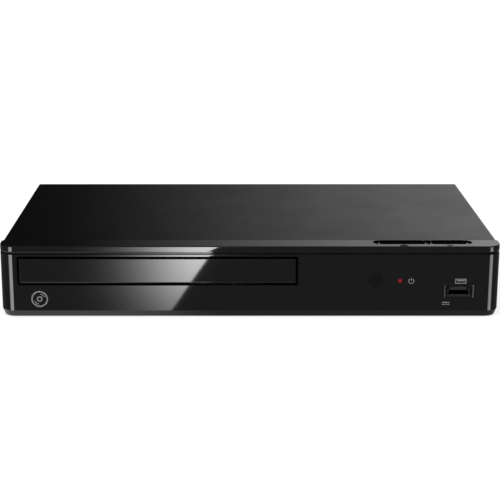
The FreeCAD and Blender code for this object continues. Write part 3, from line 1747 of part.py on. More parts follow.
def make_all():
    open_key, power_key = key_openings()
    pieces = {
        "front_panel": [make_front_panel()],
        "top_strip": [make_top_strip()],
        "open_button": [make_key(*open_key)],
        "power_button": [make_key(*power_key)],
        "tray_door": [make_tray_door()],
        "ir_window": [make_window()],
        "light_guide": [make_light_guide()],
        "top_cover": [make_top_cover()],
        "bottom_chassis": [make_bottom_chassis()],
        "rear_panel": [make_rear_panel()],
        "rubber_feet": make_feet(),
        "case_screws": make_case_screws(),
        "board_screws": make_board_screws(),
        "loader_screws": make_loader_screws(),
        "main_board": [make_main_board()],
        "power_board": [make_power_board()],
        "front_board": [make_front_board()],
        "key_board": [make_key_board()],
        "key_switches": make_key_switches(),
        "ir_receiver": [make_receiver()],
        "status_lamp": [make_lamp()],
        "usb_shell": [make_usb_shell()],
        "usb_tongue": [make_usb_tongue()],
        "hdmi_socket": [make_hdmi_socket()],
        "lan_socket": [make_lan_socket()],
        "audio_socket": [make_audio_socket()],
        "mains_inlet": [make_mains_inlet()],
        "main_processor": [make_processor()],
        "heat_sink": [make_heat_sink()],
        "memory_chips": make_memory(),
        "small_capacitors": make_small_capacitors(),
        "transformer_core": [make_core()],
        "transformer_coil": [make_coil()],
        "large_capacitor": [make_large_capacitor()],
        "output_capacitors": make_output_capacitors(),
        "power_heat_sink": [make_fin_plate()],
        "insulating_film": [make_film()],
        "ribbon_sockets": make_ribbon_sockets(),
        "front_ribbon": [make_front_ribbon()],
        "loader_ribbon": [make_loader_ribbon()],
        "disc_tray": [make_disc_tray()],
        "loader_frame": [make_loader_frame()],
        "loading_motor": [make_loading_motor()],
        "motor_pulley": [make_motor_pulley()],
        "drive_belt": [make_belt()],
        "pulley_gear": [make_pulley_gear()],
        "tray_gear": [make_tray_gear()],
        "cam_slider": [make_cam_slider()],
        "traverse_frame": [make_traverse_frame()],
        "isolation_bushes": make_bushes(),
        "mechanism_plate": [make_mechanism_plate()],
        "spindle_motor": [make_spindle_motor()],
        "turntable": [make_turntable()],
        "optical_pickup": [make_pickup()],
        "objective_lens": [make_lens()],
        "guide_rods": make_rods(),
        "lead_screw": [make_lead_screw()],
        "sled_motor": [make_sled_motor()],
        "clamp_bridge": [make_bridge()],
        "disc_clamper": [make_clamper()],
    }
    for name, solids in pieces.items():
        save(name, solids)


make_all()
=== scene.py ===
# A low black disc player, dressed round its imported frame: camera, studio, finishes, soft edges and printed marks.
import json
import math
import bmesh
import bpy
from mathutils import Matrix, Vector


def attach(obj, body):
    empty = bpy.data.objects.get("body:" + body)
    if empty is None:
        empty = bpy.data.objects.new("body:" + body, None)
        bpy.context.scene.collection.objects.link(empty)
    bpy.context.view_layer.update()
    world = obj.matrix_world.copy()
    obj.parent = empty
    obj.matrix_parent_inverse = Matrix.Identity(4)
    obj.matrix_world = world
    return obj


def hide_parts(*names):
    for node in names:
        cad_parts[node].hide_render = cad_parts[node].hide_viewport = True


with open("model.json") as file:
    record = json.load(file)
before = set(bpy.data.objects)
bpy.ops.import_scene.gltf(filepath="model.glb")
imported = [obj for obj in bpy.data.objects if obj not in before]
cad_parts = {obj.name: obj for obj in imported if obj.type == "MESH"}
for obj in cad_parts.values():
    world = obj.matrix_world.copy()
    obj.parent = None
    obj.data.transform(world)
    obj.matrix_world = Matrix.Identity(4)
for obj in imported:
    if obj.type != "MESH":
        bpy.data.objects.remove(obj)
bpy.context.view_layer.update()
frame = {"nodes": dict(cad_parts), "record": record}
mm = 0.001
bodyOf = {}
for bodyName, members in frame["record"]["behaviour"]["bodies"].items():
    for member in members:
        bodyOf[member] = bodyName
slotOf = {part["node"]: part["material_slot"] for part in frame["record"]["subparts"]}


# The camera stands where the photograph's perspective puts it; the small shift keeps the level lines level.
photoCamera = {
    "place": (-0.009938, -0.904822, 0.264745),
    "tilt": 0.26512,  # radians below level
    "shift": 0.032,
    "lens": 98.2,
    "sensor": 36.0,
    "nearest": 0.05,
    "furthest": 60.0,
}


def makeCamera(spec):
    data = bpy.data.cameras.new("photoCamera")
    data.lens = spec["lens"]
    data.sensor_width = spec["sensor"]
    data.shift_x = spec["shift"]
    data.clip_start = spec["nearest"]
    data.clip_end = spec["furthest"]
    camera = bpy.data.objects.new("photoCamera", data)
    camera.location = spec["place"]
    camera.rotation_euler = (math.pi / 2 - spec["tilt"], 0, 0)
    bpy.context.scene.collection.objects.link(camera)
    bpy.context.scene.camera = camera
    print("camera placed")


# Node helpers: a math step, a soft step, a product, a bell curve and a split of the object's own coordinates.
def calc(tree, operation, *values):
    node = tree.nodes.new("ShaderNodeMath")
    node.operation = operation
    for place, value in enumerate(values):
        if isinstance(value, bpy.types.NodeSocket):
            tree.links.new(value, node.inputs[place])
        else:
            node.inputs[place].default_value = value
    return node.outputs[0]


def softStep(tree, value, low, high, start=0.0, end=1.0):
    node = tree.nodes.new("ShaderNodeMapRange")
    node.interpolation_type = "SMOOTHSTEP"
    tree.links.new(value, node.inputs["Value"])
    for label, number in (("From Min", low), ("From Max", high), ("To Min", start), ("To Max", end)):
        node.inputs[label].default_value = number
    return node.outputs["Result"]


def product(tree, first, *others):
    for other in others:
        first = calc(tree, "MULTIPLY", first, other)
    return first


def bellCurve(tree, value, middle, spread):
    off = calc(tree, "DIVIDE", calc(tree, "SUBTRACT", value, middle), spread)
    return calc(tree, "EXPONENT", product(tree, off, off, -0.5))


def ownCoordinates(tree):
    return tree.nodes.new("ShaderNodeTexCoord").outputs["Object"]


def ownAxes(tree):
    split = tree.nodes.new("ShaderNodeSeparateXYZ")
    tree.links.new(ownCoordinates(tree), split.inputs[0])
    return split.outputs


def emptyMaterial(name):
    material = bpy.data.materials.new(name)
    material.use_nodes = True
    material.node_tree.nodes.clear()
    return material, material.node_tree


def plainMaterial(name):
    material = bpy.data.materials.new(name)
    material.use_nodes = True
    return material, material.node_tree, material.node_tree.nodes["Principled BSDF"]


def meshObject(bm, name):
    mesh = bpy.data.meshes.new(name)
    bm.to_mesh(mesh)
    bm.free()
    made = bpy.data.objects.new(name, mesh)
    bpy.context.scene.collection.objects.link(made)
    return made


# The studio: white floor and world, one soft sun, and cards that only gloss can see.
studio = {
    "floorReach": 15.0,
    "floorPale": 0.8,
    "floorSeen": 0.35,  # share of the floor that still takes light and shadow in front of the camera
    "floorGlow": 0.72,
    "ambient": 0.5,
    "sunStrength": 1.75,
    "sunSpread": 55.0,
    "sunTurn": (28.0, -14.0, 0.0),
}


def makeFloor(spec):
    bm = bmesh.new()
    bmesh.ops.create_grid(bm, x_segments=1, y_segments=1, size=spec["floorReach"])
    floor = meshObject(bm, "floor")
    material, tree = emptyMaterial("floorPaper")
    path = tree.nodes.new("ShaderNodeLightPath")
    pale = tree.nodes.new("ShaderNodeBsdfDiffuse")
    pale.inputs["Color"].default_value = (spec["floorPale"],) * 3 + (1,)
    seen = tree.nodes.new("ShaderNodeBsdfDiffuse")
    seen.inputs["Color"].default_value = (spec["floorSeen"],) * 3 + (1,)
    glow = tree.nodes.new("ShaderNodeEmission")
    glow.inputs["Strength"].default_value = spec["floorGlow"]
    both = tree.nodes.new("ShaderNodeAddShader")
    pick = tree.nodes.new("ShaderNodeMixShader")
    end = tree.nodes.new("ShaderNodeOutputMaterial")
    tree.links.new(seen.outputs[0], both.inputs[0])
    tree.links.new(glow.outputs[0], both.inputs[1])
    through = calc(tree, "MAXIMUM", path.outputs["Is Glossy Ray"], path.outputs["Is Transmission Ray"])
    tree.links.new(calc(tree, "MAXIMUM", path.outputs["Is Camera Ray"], through), pick.inputs[0])
    tree.links.new(pale.outputs[0], pick.inputs[1])
    tree.links.new(both.outputs[0], pick.inputs[2])
    tree.links.new(pick.outputs[0], end.inputs["Surface"])
    material.cycles.emission_sampling = "NONE"
    floor.data.materials.append(material)
    floor.visible_glossy = False


def makeWorld(spec):
    world = bpy.data.worlds.new("studioWorld")
    bpy.context.scene.world = world
    world.use_nodes = True
    tree = world.node_tree
    background = tree.nodes["Background"]
    background.inputs["Color"].default_value = (1, 1, 1, 1)
    path = tree.nodes.new("ShaderNodeLightPath")
    seen = calc(tree, "ADD", path.outputs["Is Camera Ray"], path.outputs["Is Glossy Ray"])
    seen = calc(tree, "ADD", seen, path.outputs["Is Transmission Ray"])
    strength = softStep(tree, seen, 0.0, 1.0, spec["ambient"], 1.0)
    tree.links.new(strength, background.inputs["Strength"])


def makeSun(spec):
    data = bpy.data.lights.new("softSun", "SUN")
    data.energy = spec["sunStrength"]
    data.angle = math.radians(spec["sunSpread"])
    sun = bpy.data.objects.new("softSun", data)
    sun.rotation_euler = [math.radians(turn) for turn in spec["sunTurn"]]
    sun.visible_glossy = False
    bpy.context.scene.collection.objects.link(sun)


def cardMaterial(name, shade):
    material, tree = emptyMaterial(name)
    light = tree.nodes.new("ShaderNodeEmission")
    end = tree.nodes.new("ShaderNodeOutputMaterial")
    tree.links.new(shade(tree), light.inputs["Strength"])
    tree.links.new(light.outputs[0], end.inputs["Surface"])
    material.cycles.emission_sampling = "NONE"
    return material


def makeCard(name, low, high, shade):
    low, high = Vector(low), Vector(high)
    thin = min(range(3), key=lambda axis: high[axis] - low[axis])
    bm = bmesh.new()
    bmesh.ops.create_grid(bm, x_segments=1, y_segments=1, size=0.5)
    turn = (Matrix.Rotation(math.pi / 2, 4, "Y"), Matrix.Rotation(math.pi / 2, 4, "X"), Matrix.Identity(4))[thin]
    bmesh.ops.transform(bm, matrix=turn, verts=bm.verts[:])
    bmesh.ops.scale(bm, vec=high - low, verts=bm.verts[:])
    bmesh.ops.translate(bm, vec=(low + high) / 2, verts=bm.verts[:])
    card = meshObject(bm, name)
    card.data.materials.append(cardMaterial(name, shade))
    card.visible_camera = False
    card.visible_diffuse = False
    card.visible_transmission = False
    card.visible_shadow = False


# The card before the front: dark, with a glow that swells to the right and stops at a slanted edge.
frontCard = {
    "low": (-0.56, -1.49, -1.1),
    "high": (0.6, -1.49, 2.2),
    "dark": 0.165,
    "peak": 14.5,
    "glowX": -0.05,
    "glowSpread": 0.073,
    "edgeLean": 0.6876,
    "edgeX": 0.1868,
    "edgeSoft": 0.0012,
    "base": (-0.524, -0.333),  # heights between which the glow comes in from below
    "lid": (-0.29, -0.2),  # and goes out above
}


def frontShade(tree):
    spec = frontCard
    x, _, z = ownAxes(tree)
    lean = calc(tree, "SUBTRACT", x, calc(tree, "MULTIPLY", z, spec["edgeLean"]))
    edge = softStep(tree, lean, spec["edgeX"] - spec["edgeSoft"], spec["edgeX"] + spec["edgeSoft"], 1.0, 0.0)
    glow = bellCurve(tree, x, spec["glowX"], spec["glowSpread"])
    base = softStep(tree, z, *spec["base"])
    lid = softStep(tree, z, *spec["lid"], 1.0, 0.0)
    return calc(tree, "MULTIPLY_ADD", product(tree, glow, edge, base, lid), spec["peak"], spec["dark"])


# The card behind the top: dark on the left, white on the right, and dark again above what the lid sees.
rearCard = {
    "low": (-1.4, 1.1, -0.05),
    "high": (1.6, 1.1, 2.6),
    "dark": 0.004,
    "white": 1.0,
    "left": -0.3,
    "right": 0.62,
    "fade": (0.8, 1.0),
    "above": 0.03,
}


def sideRise(tree):
    rise = softStep(tree, ownAxes(tree)[0], rearCard["left"], rearCard["right"])
    return calc(tree, "MULTIPLY_ADD", rise, rearCard["white"], rearCard["dark"])


def rearShade(tree):
    fade = softStep(tree, ownAxes(tree)[2], *rearCard["fade"], 1.0, rearCard["above"])
    return product(tree, sideRise(tree), fade)


# A dim ceiling keeps upward edges dark. The patch straight above gives the top its gradient when seen from there.
roofCard = {
    "low": (-1.6, -1.49, 2.2),
    "high": (1.6, 1.1, 2.2),
    "base": 0.9,
    "dim": 0.03,
    "near": (-0.15, 0.02),
    "far": (0.32, 0.5),
}


def roofShade(tree):
    spec = roofCard
    y = ownAxes(tree)[1]
    near = softStep(tree, y, *spec["near"])
    far = softStep(tree, y, *spec["far"], 1.0, 0.0)
    bright = product(tree, calc(tree, "ADD", sideRise(tree), spec["base"]), near, far)
    return calc(tree, "ADD", bright, spec["dim"])


# The card below, which the lower bevel and the undersides of edges see. A strip of it repeats the glow.
underCard = {
    "low": (-1.4, -1.4, -0.62),
    "high": (1.4, 0.6, -0.62),
    "lit": 1.1,
    "dim": 0.32,
    "left": -0.13,
    "right": -0.02,
    "glow": 9.0,
    "glowX": -0.0259,
    "glowSpread": 0.048,
    "glowEdge": -0.0237,
    "drop": 0.66,
    "frontY": -0.0908,
    "drift": 0.01626,  # how far the glow's reflection runs sideways for each metre of its path
    "glowEdgeSoft": 0.002,
    "stripY": 0.09,
    "stripSpread": 0.07,
    "apron": 3.2,  # the glow nearest the front, against that of the strip
    "apronDim": 0.35,
    "apronY": (-0.8, -0.62),
}


def underShade(tree):
    spec = underCard
    x, y, _ = ownAxes(tree)
    plain = softStep(tree, x, spec["left"], spec["right"], spec["lit"], spec["dim"])
    soft = spec["glowEdgeSoft"]
    depth = calc(tree, "SUBTRACT", y, spec["frontY"])
    path = calc(tree, "SQRT", calc(tree, "MULTIPLY_ADD", depth, depth, spec["drop"] ** 2))
    start = calc(tree, "MULTIPLY_ADD", path, spec["drift"], x)
    edge = softStep(tree, start, spec["glowEdge"] - soft, spec["glowEdge"] + soft, 1.0, 0.0)
    glow = product(tree, bellCurve(tree, start, spec["glowX"], spec["glowSpread"]), edge)
    apron = softStep(tree, y, *spec["apronY"], spec["apron"], 0.0)
    plain = product(tree, plain, softStep(tree, y, *spec["apronY"], spec["apronDim"], 1.0))
    strip = calc(tree, "ADD", bellCurve(tree, y, spec["stripY"], spec["stripSpread"]), apron)
    return calc(tree, "MULTIPLY_ADD", product(tree, glow, strip), spec["glow"], plain)


# Dark cards at both sides, each with a soft box that the round corners of the front see.
sideCards = {
    "away": 1.2,
    "front": -5.2,
    "back": 2.5,
    "bottom": -1.3,
    "top": 2.2,
    "dark": 0.14,
    "eye": (0.147, -0.082, 0.026),  # the round corner that looks at the soft box
    "begin": (0.236, 0.257),  # fall over distance where the box begins
    "stop": (0.329, 0.352),  # and where it ends
    "cards": {
        "leftCard": {"side": -1, "light": 6.4, "near": (-1.45, -1.0), "far": (-4.4, -3.0)},
        "rightCard": {"side": 1, "light": 4.9, "near": (-0.85, -0.6), "far": (-1.9, -1.35)},
    },
}


def sideShade(card):
    def shade(tree):
        _, y, z = ownAxes(tree)
        near = softStep(tree, y, *card["near"], 1.0, 0.0)
        far = softStep(tree, y, *card["far"])
        across, along, height = sideCards["eye"]
        depth = calc(tree, "SUBTRACT", y, along)
        reach = calc(tree, "SQRT", calc(tree, "MULTIPLY_ADD", depth, depth, (sideCards["away"] - across) ** 2))
        fall = calc(tree, "DIVIDE", calc(tree, "SUBTRACT", height, z), reach)
        begin = softStep(tree, fall, *sideCards["begin"])
        stop = softStep(tree, fall, *sideCards["stop"], 1.0, 0.0)
        return calc(tree, "MULTIPLY_ADD", product(tree, near, far, begin, stop), card["light"], sideCards["dark"])
    return shade


def makeStudio():
    makeFloor(studio)
    makeWorld(studio)
    makeSun(studio)
    for name, spec, shade in (
        ("frontCard", frontCard, frontShade),
        ("rearCard", rearCard, rearShade),
        ("roofCard", roofCard, roofShade),
        ("underCard", underCard, underShade),
    ):
        makeCard(name, spec["low"], spec["high"], shade)
    for name, card in sideCards["cards"].items():
        x = card["side"] * sideCards["away"]
        makeCard(name, (x, sideCards["front"], sideCards["bottom"]), (x, sideCards["back"], sideCards["top"]),
                 sideShade(card))
    print("studio lit")


# Effects that several finishes share, each a group with its own named values. Their noise is set here.
effectNoise = {
    "grain": {"detail": 3.0, "roughness": 0.6},
    "drift": {"detail": 4.0, "roughness": 0.5},
    "handling": {"detail": 5.0, "roughness": 0.65},
    "brush": {"detail": 2.0, "roughness": 0.5},
}
noiseMiddle = 0.5
driftSwing = 4.0
handlingSwing = 2.0
smoothest = 0.01


def newGroup(name, inputs, outputs):
    group = bpy.data.node_groups.new(name, "ShaderNodeTree")
    for label, value in inputs.items():
        kind = "NodeSocketColor" if isinstance(value, tuple) else "NodeSocketFloat"
        group.interface.new_socket(label, in_out="INPUT", socket_type=kind).default_value = value
    for label, kind in outputs.items():
        group.interface.new_socket(label, in_out="OUTPUT", socket_type=kind)
    return group, group.nodes.new("NodeGroupInput"), group.nodes.new("NodeGroupOutput")


def noiseIn(tree, coordinates, scale, effect):
    node = tree.nodes.new("ShaderNodeTexNoise")
    node.inputs["Detail"].default_value = effectNoise[effect]["detail"]
    node.inputs["Roughness"].default_value = effectNoise[effect]["roughness"]
    tree.links.new(coordinates, node.inputs["Vector"])
    tree.links.new(scale, node.inputs["Scale"])
    return node.outputs["Fac"]


def makeGrain():
    group, start, end = newGroup("fineGrain", {"Scale": 2000.0}, {"Height": "NodeSocketFloat"})
    grain = noiseIn(group, ownCoordinates(group), start.outputs["Scale"], "grain")
    group.links.new(grain, end.inputs["Height"])
    return group


def makeDrift():
    inputs = {"Colour": (0.5, 0.5, 0.5, 1.0), "Amount": 0.1, "Scale": 30.0}
    group, start, end = newGroup("toneDrift", inputs, {"Colour": "NodeSocketColor"})
    drift = noiseIn(group, ownCoordinates(group), start.outputs["Scale"], "drift")
    swing = product(group, calc(group, "SUBTRACT", drift, noiseMiddle), start.outputs["Amount"])
    level = calc(group, "MULTIPLY_ADD", swing, driftSwing, 1.0)
    scaled = group.nodes.new("ShaderNodeVectorMath")
    scaled.operation = "SCALE"
    group.links.new(start.outputs["Colour"], scaled.inputs[0])
    group.links.new(level, scaled.inputs["Scale"])
    group.links.new(scaled.outputs[0], end.inputs["Colour"])
    return group


def makeHandling():
    inputs = {"Roughness": 0.3, "Amount": 0.1, "Scale": 25.0}
    group, start, end = newGroup("handling", inputs, {"Roughness": "NodeSocketFloat"})
    patch = noiseIn(group, ownCoordinates(group), start.outputs["Scale"], "handling")
    swing = product(group, calc(group, "SUBTRACT", patch, noiseMiddle), start.outputs["Amount"])
    rough = calc(group, "MULTIPLY_ADD", swing, handlingSwing, start.outputs["Roughness"])
    group.links.new(calc(group, "MAXIMUM", rough, smoothest), end.inputs["Roughness"])
    return group


def makeBrush():
    group, start, end = newGroup("rollLines", {"Scale": 900.0, "Stretch": 0.02}, {"Height": "NodeSocketFloat"})
    axes = ownAxes(group)
    joined = group.nodes.new("ShaderNodeCombineXYZ")
    group.links.new(product(group, axes[0], start.outputs["Stretch"]), joined.inputs[0])
    group.links.new(axes[1], joined.inputs[1])
    group.links.new(axes[2], joined.inputs[2])
    lines = noiseIn(group, joined.outputs[0], start.outputs["Scale"], "brush")
    group.links.new(lines, end.inputs["Height"])
    return group


effects = {"grain": makeGrain(), "drift": makeDrift(), "handling": makeHandling(), "brush": makeBrush()}


def placeEffect(tree, effect, values):
    node = tree.nodes.new("ShaderNodeGroup")
    node.node_tree = effects[effect]
    for label, value in values.items():
        node.inputs[label].default_value = value
    return node.outputs[0]


# One finish for each slot of the record, and for what only the scene has: colour, gloss and the depth of its
# texture, in metres.
finishes = {
    "cover_paint": {"colour": (0.0042, 0.0042, 0.0044), "rough": 0.34, "gloss": 0.2, "grain": 2600, "depth": 6e-6,
                    "drift": 0.1},
    "panel_gloss": {"colour": (0.0052, 0.0052, 0.0054), "rough": 0.025, "grain": 500, "depth": 4e-8,
                    "handling": 0.006},
    # darker and less glossy than the panel: painted shade of the groove under the lip
    "groove_shade_gloss": {"colour": (0.002, 0.002, 0.0022), "rough": 0.025, "gloss": 0.22, "grain": 500, "depth": 4e-8,
                     "handling": 0.006},
    "key_plastic": {"colour": (0.0016, 0.0016, 0.0018), "rough": 0.5, "gloss": 0.0, "grain": 3000, "depth": 1e-6},
    "steel": {"colour": (0.6, 0.61, 0.63), "rough": 0.38, "metal": 1.0, "brush": 1400, "depth": 1.5e-6, "drift": 0.04,
              "handling": 0.03},
    "screw_steel": {"colour": (0.05, 0.05, 0.053), "rough": 0.35, "metal": 0.8, "grain": 4000, "depth": 4e-6},
    "bright_steel": {"colour": (0.74, 0.75, 0.77), "rough": 0.12, "metal": 1.0, "grain": 5000, "depth": 1e-6},
    "foot_rubber": {"colour": (0.022, 0.022, 0.022), "rough": 0.75, "grain": 3500, "depth": 2e-5, "drift": 0.15},
    "board_green": {"colour": (0.012, 0.12, 0.045), "rough": 0.3, "grain": 1500, "depth": 4e-6, "drift": 0.1},
    "chip_black": {"colour": (0.022, 0.022, 0.024), "rough": 0.5, "grain": 5000, "depth": 8e-6},
    "sink_metal": {"colour": (0.62, 0.63, 0.65), "rough": 0.4, "metal": 1.0, "brush": 1500, "depth": 4e-6},
    "capacitor_sleeve": {"colour": (0.02, 0.03, 0.075), "rough": 0.3, "grain": 2500, "depth": 2e-6},
    "ferrite": {"colour": (0.055, 0.055, 0.06), "rough": 0.7, "grain": 3500, "depth": 2e-5, "drift": 0.2},
    "coil_tape": {"colour": (0.62, 0.42, 0.03), "rough": 0.3, "grain": 600, "depth": 8e-6, "drift": 0.1},
    "film_clear": {"colour": (0.7, 0.72, 0.72), "rough": 0.35, "grain": 800, "depth": 4e-6, "alpha": 0.45},
    "connector_plastic": {"colour": (0.014, 0.014, 0.015), "rough": 0.42, "grain": 3500, "depth": 6e-6},
    "socket_ivory": {"colour": (0.72, 0.68, 0.55), "rough": 0.45, "grain": 3000, "depth": 4e-6, "drift": 0.05},
    "ribbon_white": {"colour": (0.78, 0.79, 0.8), "rough": 0.4, "grain": 900, "depth": 3e-6},
    "loader_plastic": {"colour": (0.017, 0.017, 0.018), "rough": 0.42, "grain": 2600, "depth": 9e-6, "drift": 0.1},
    "gear_plastic": {"colour": (0.74, 0.72, 0.66), "rough": 0.38, "grain": 2500, "depth": 4e-6, "drift": 0.04},
    "motor_rotor_metal": {"colour": (0.6, 0.61, 0.63), "rough": 0.25, "metal": 1.0, "grain": 3000, "depth": 2e-6},
    "pickup_metal": {"colour": (0.36, 0.37, 0.39), "rough": 0.45, "metal": 1.0, "grain": 2200, "depth": 1.2e-5},
    "lens_clear": {"colour": (0.55, 0.68, 0.95), "rough": 0.03, "grain": 400, "depth": 1e-7, "clear": 0.85},
    "lamp_red": {"colour": (0.3, 0.002, 0.02), "rough": 0.15, "grain": 800, "depth": 1e-6, "glow": 0.8},
    "mark_grey": {"colour": (0.24, 0.24, 0.245), "rough": 0.45, "grain": 4000, "depth": 1e-6},
    # matt black for printed symbols, and for the painted shade in the key row's wells and over its ribs
    "print_and_shade_black": {"colour": (0.0016, 0.0016, 0.0018), "rough": 0.6, "gloss": 0.0, "grain": 4000, "depth": 1e-6},
    "liner_black": {"colour": (0.002, 0.002, 0.0022), "rough": 0.35, "gloss": 0.3, "grain": 3000, "depth": 3e-6},
    # painted light: a paler grey for the port liner's faces that look up
    "sill_lit_grey": {"colour": (0.034, 0.034, 0.034), "rough": 0.5, "gloss": 0.2, "grain": 3000, "depth": 3e-6},
    # near-black metal for the port's shell: painted shade of the port's inside
    "shell_shaded_dark": {"colour": (0.05, 0.05, 0.053), "rough": 0.4, "metal": 1.0, "brush": 1400, "depth": 2e-6},
    "tongue_grey": {"colour": (0.024, 0.024, 0.026), "rough": 0.4, "grain": 3500, "depth": 4e-6},
    "window_smoke": {"colour": (0.003, 0.0028, 0.0028), "rough": 0.04, "gloss": 0.45, "grain": 600, "depth": 4e-8},
    "contact_gold": {"colour": (0.83, 0.58, 0.2), "rough": 0.2, "metal": 1.0, "grain": 5000, "depth": 1e-6},
}


# What a finish has when its own row doesn't say.
usualFinish = {"metal": 0.0, "gloss": 0.5, "alpha": 1.0, "clear": 0.0, "handling": 0.08, "driftScale": 60.0}
finishSockets = {
    "rough": "Roughness",
    "metal": "Metallic",
    "gloss": "Specular IOR Level",
    "alpha": "Alpha",
    "clear": "Transmission Weight",
}


def makeFinish(name, ownSpec):
    spec = {**usualFinish, **ownSpec}
    material, tree, shader = plainMaterial(name)
    colour = spec["colour"] + (1.0,)
    shader.inputs["Base Color"].default_value = colour
    for value, socket in finishSockets.items():
        shader.inputs[socket].default_value = spec[value]
    if "drift" in spec:
        drift = placeEffect(tree, "drift", {"Colour": colour, "Amount": spec["drift"], "Scale": spec["driftScale"]})
        tree.links.new(drift, shader.inputs["Base Color"])
    if "glow" in spec:
        shader.inputs["Emission Color"].default_value = colour
        shader.inputs["Emission Strength"].default_value = spec["glow"]
    rough = placeEffect(tree, "handling", {"Roughness": spec["rough"], "Amount": spec["handling"]})
    tree.links.new(rough, shader.inputs["Roughness"])
    if "brush" in spec:
        height = placeEffect(tree, "brush", {"Scale": spec["brush"]})
    else:
        height = placeEffect(tree, "grain", {"Scale": spec["grain"]})
    bump = tree.nodes.new("ShaderNodeBump")
    bump.inputs["Strength"].default_value = 1.0
    bump.inputs["Distance"].default_value = spec["depth"]
    tree.links.new(height, bump.inputs["Height"])
    tree.links.new(bump.outputs[0], shader.inputs["Normal"])
    return material


# Nodes that look other than their slot: dark metal in the front port, darkened as painted shade of the port's inside,
# a grey tongue there, and a smoked window.
ownFinish = {"usb_shell": "shell_shaded_dark", "usb_tongue": "tongue_grey", "ir_window": "window_smoke"}
materials = {}


def paintFrame():
    for slot, spec in finishes.items():
        materials[slot] = makeFinish(slot, spec)
    for node, part in frame["nodes"].items():
        part.material_slots[0].material = materials[ownFinish.get(node, slotOf[node])]
    frame["nodes"]["light_guide"].material_slots[0].material = makeLampFace(lampFace)
    print("finishes made:", len(materials))


# The lamp's face is smoked plastic that lets the red through at its middle.
lampFace = {
    "x": 93.4, "z": 23.95, "dark": (0.006, 0.001, 0.0015), "red": (0.37, 0.008, 0.03), "reach": 1.9, "rough": 0.12,
}


def makeLampFace(spec):
    material, tree, shader = plainMaterial("lampFace")
    shader.inputs["Base Color"].default_value = spec["dark"] + (1.0,)
    shader.inputs["Roughness"].default_value = spec["rough"]
    shader.inputs["Emission Strength"].default_value = 1.0
    x, _, z = ownAxes(tree)
    across = calc(tree, "SUBTRACT", x, spec["x"] * mm)
    upward = calc(tree, "SUBTRACT", z, spec["z"] * mm)
    away = calc(tree, "SQRT", calc(tree, "MULTIPLY_ADD", across, across, product(tree, upward, upward)))
    bright = softStep(tree, away, 0.0, spec["reach"] * mm, 1.0, 0.0)
    glow = tree.nodes.new("ShaderNodeVectorMath")
    glow.operation = "SCALE"
    glow.inputs[0].default_value = spec["red"]
    tree.links.new(bright, glow.inputs["Scale"])
    tree.links.new(glow.outputs[0], shader.inputs["Emission Color"])
    return material


# Moulded and pressed shells keep their CAD shape, in millimetres. A trim stretches the height of what lies in its
# box, about its level. A sink moves what lies in its box to another depth. Edges inside the areas get a small
# radius, and the key row's wells are painted black: painted shade in their hollows.
softEdges = {
    "front_panel": {
        "width": 0.35,
        "areas": (
            ((-157, -91, 40.5), (157, -88.9, 41)),
            ((120, -91, 12), (141, -90, 21.5)),
            ((-157, -91, 0), (157, -74, 1)),
        ),
        "trims": (
            ((-147, -91, 38.5), (31, -90.7, 40.1), 38.5, 0.62),
            ((-147, -91, 20.0), (31, -90.7, 21.6), 22.45, 0.72),
            ((-157, -91, 1), (157, -66, 4.4), 4.5, 1.26),
        ),
    },
    "top_strip": {
        "width": 0.0,
        "areas": (),
        "trims": (((-157, -91, 41.65), (157, -74, 42.65), 42.7, 1.3),),
        # faces in this box get painted shade: the matt black of the wells
        "wells": ((70, -87, 44), (145, -74, 45.95)),
    },
    "tray_door": {
        "width": 0.05,
        "areas": (((-144, -91, 22), (29, -90.7, 38.5)),),
        "trims": (((-144, -91, 37), (29, -90.7, 37.5), 30, 1.045),),
        "sink": ((-144, -90.3, 22.4), (29, -90.2, 22.7), -90.52),
    },
    "open_button": {"width": 0.25, "areas": (((79, -86, 45.5), (111, -75, 46)),)},
    "power_button": {"width": 0.25, "areas": (((112, -86, 45.5), (137, -75, 46)),)},
    "top_cover": {"width": 0.2, "areas": (((-156, -75, 1), (156, -74, 46)), ((-156, 88.8, 45.6), (156, 90, 46)))},
    "rear_panel": {"width": 0.2, "areas": (((-156, 88.4, 1), (156, 90, 46)),)},
    "bottom_chassis": {"width": 0.0, "areas": ()},
    "rubber_feet": {"width": 0.6, "areas": (((-140, -80, -1), (140, 90, 0.1)),)},
    "disc_tray": {"width": 0.2, "areas": (((-140, -90, 22), (20, 80, 34)),)},
    "loader_frame": {"width": 0.0, "areas": ()},
}


# How edges are told, welded and rounded. The long edges of the flat front stay sharp, to keep its reflection
# straight.
sharpAngle = math.radians(19)
flatAngle = math.radians(0.3)
edgeMaking = {"shellWeld": 0.002, "pieceWeld": 0.001, "shellSteps": 3, "pieceSteps": 2, "faceWeight": 100}
frontEdge = {"depth": -90.79, "long": 100}


def addPiece(bm, name, material, body):
    piece = meshObject(bm, name)
    attributes = piece.data.attributes
    if "custom_normal" in attributes:
        attributes.remove(attributes["custom_normal"])
    piece.data.materials.append(material)
    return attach(piece, body)


def smoothPiece(piece, width):
    if width > 0:
        bevel = piece.modifiers.new("softEdge", "BEVEL")
        bevel.limit_method = "ANGLE"
        bevel.angle_limit = sharpAngle
        bevel.width = width * mm
        bevel.segments = edgeMaking["pieceSteps"]
    flattenFaces(piece)


def flattenFaces(piece):
    piece.data.shade_smooth()
    piece.data.set_sharp_from_angle(angle=sharpAngle)
    for edge in piece.data.edges:
        ends = [piece.data.vertices[end].co for end in edge.vertices]
        atFront = all(end.y < frontEdge["depth"] * mm for end in ends)
        if atFront and (ends[0] - ends[1]).length > frontEdge["long"] * mm:
            edge.use_edge_sharp = True
    flatten = piece.modifiers.new("flatFaces", "WEIGHTED_NORMAL")
    flatten.keep_sharp = True
    flatten.weight = edgeMaking["faceWeight"]


def isInside(point, low, high):
    return all(low[axis] * mm <= point[axis] <= high[axis] * mm for axis in range(3))


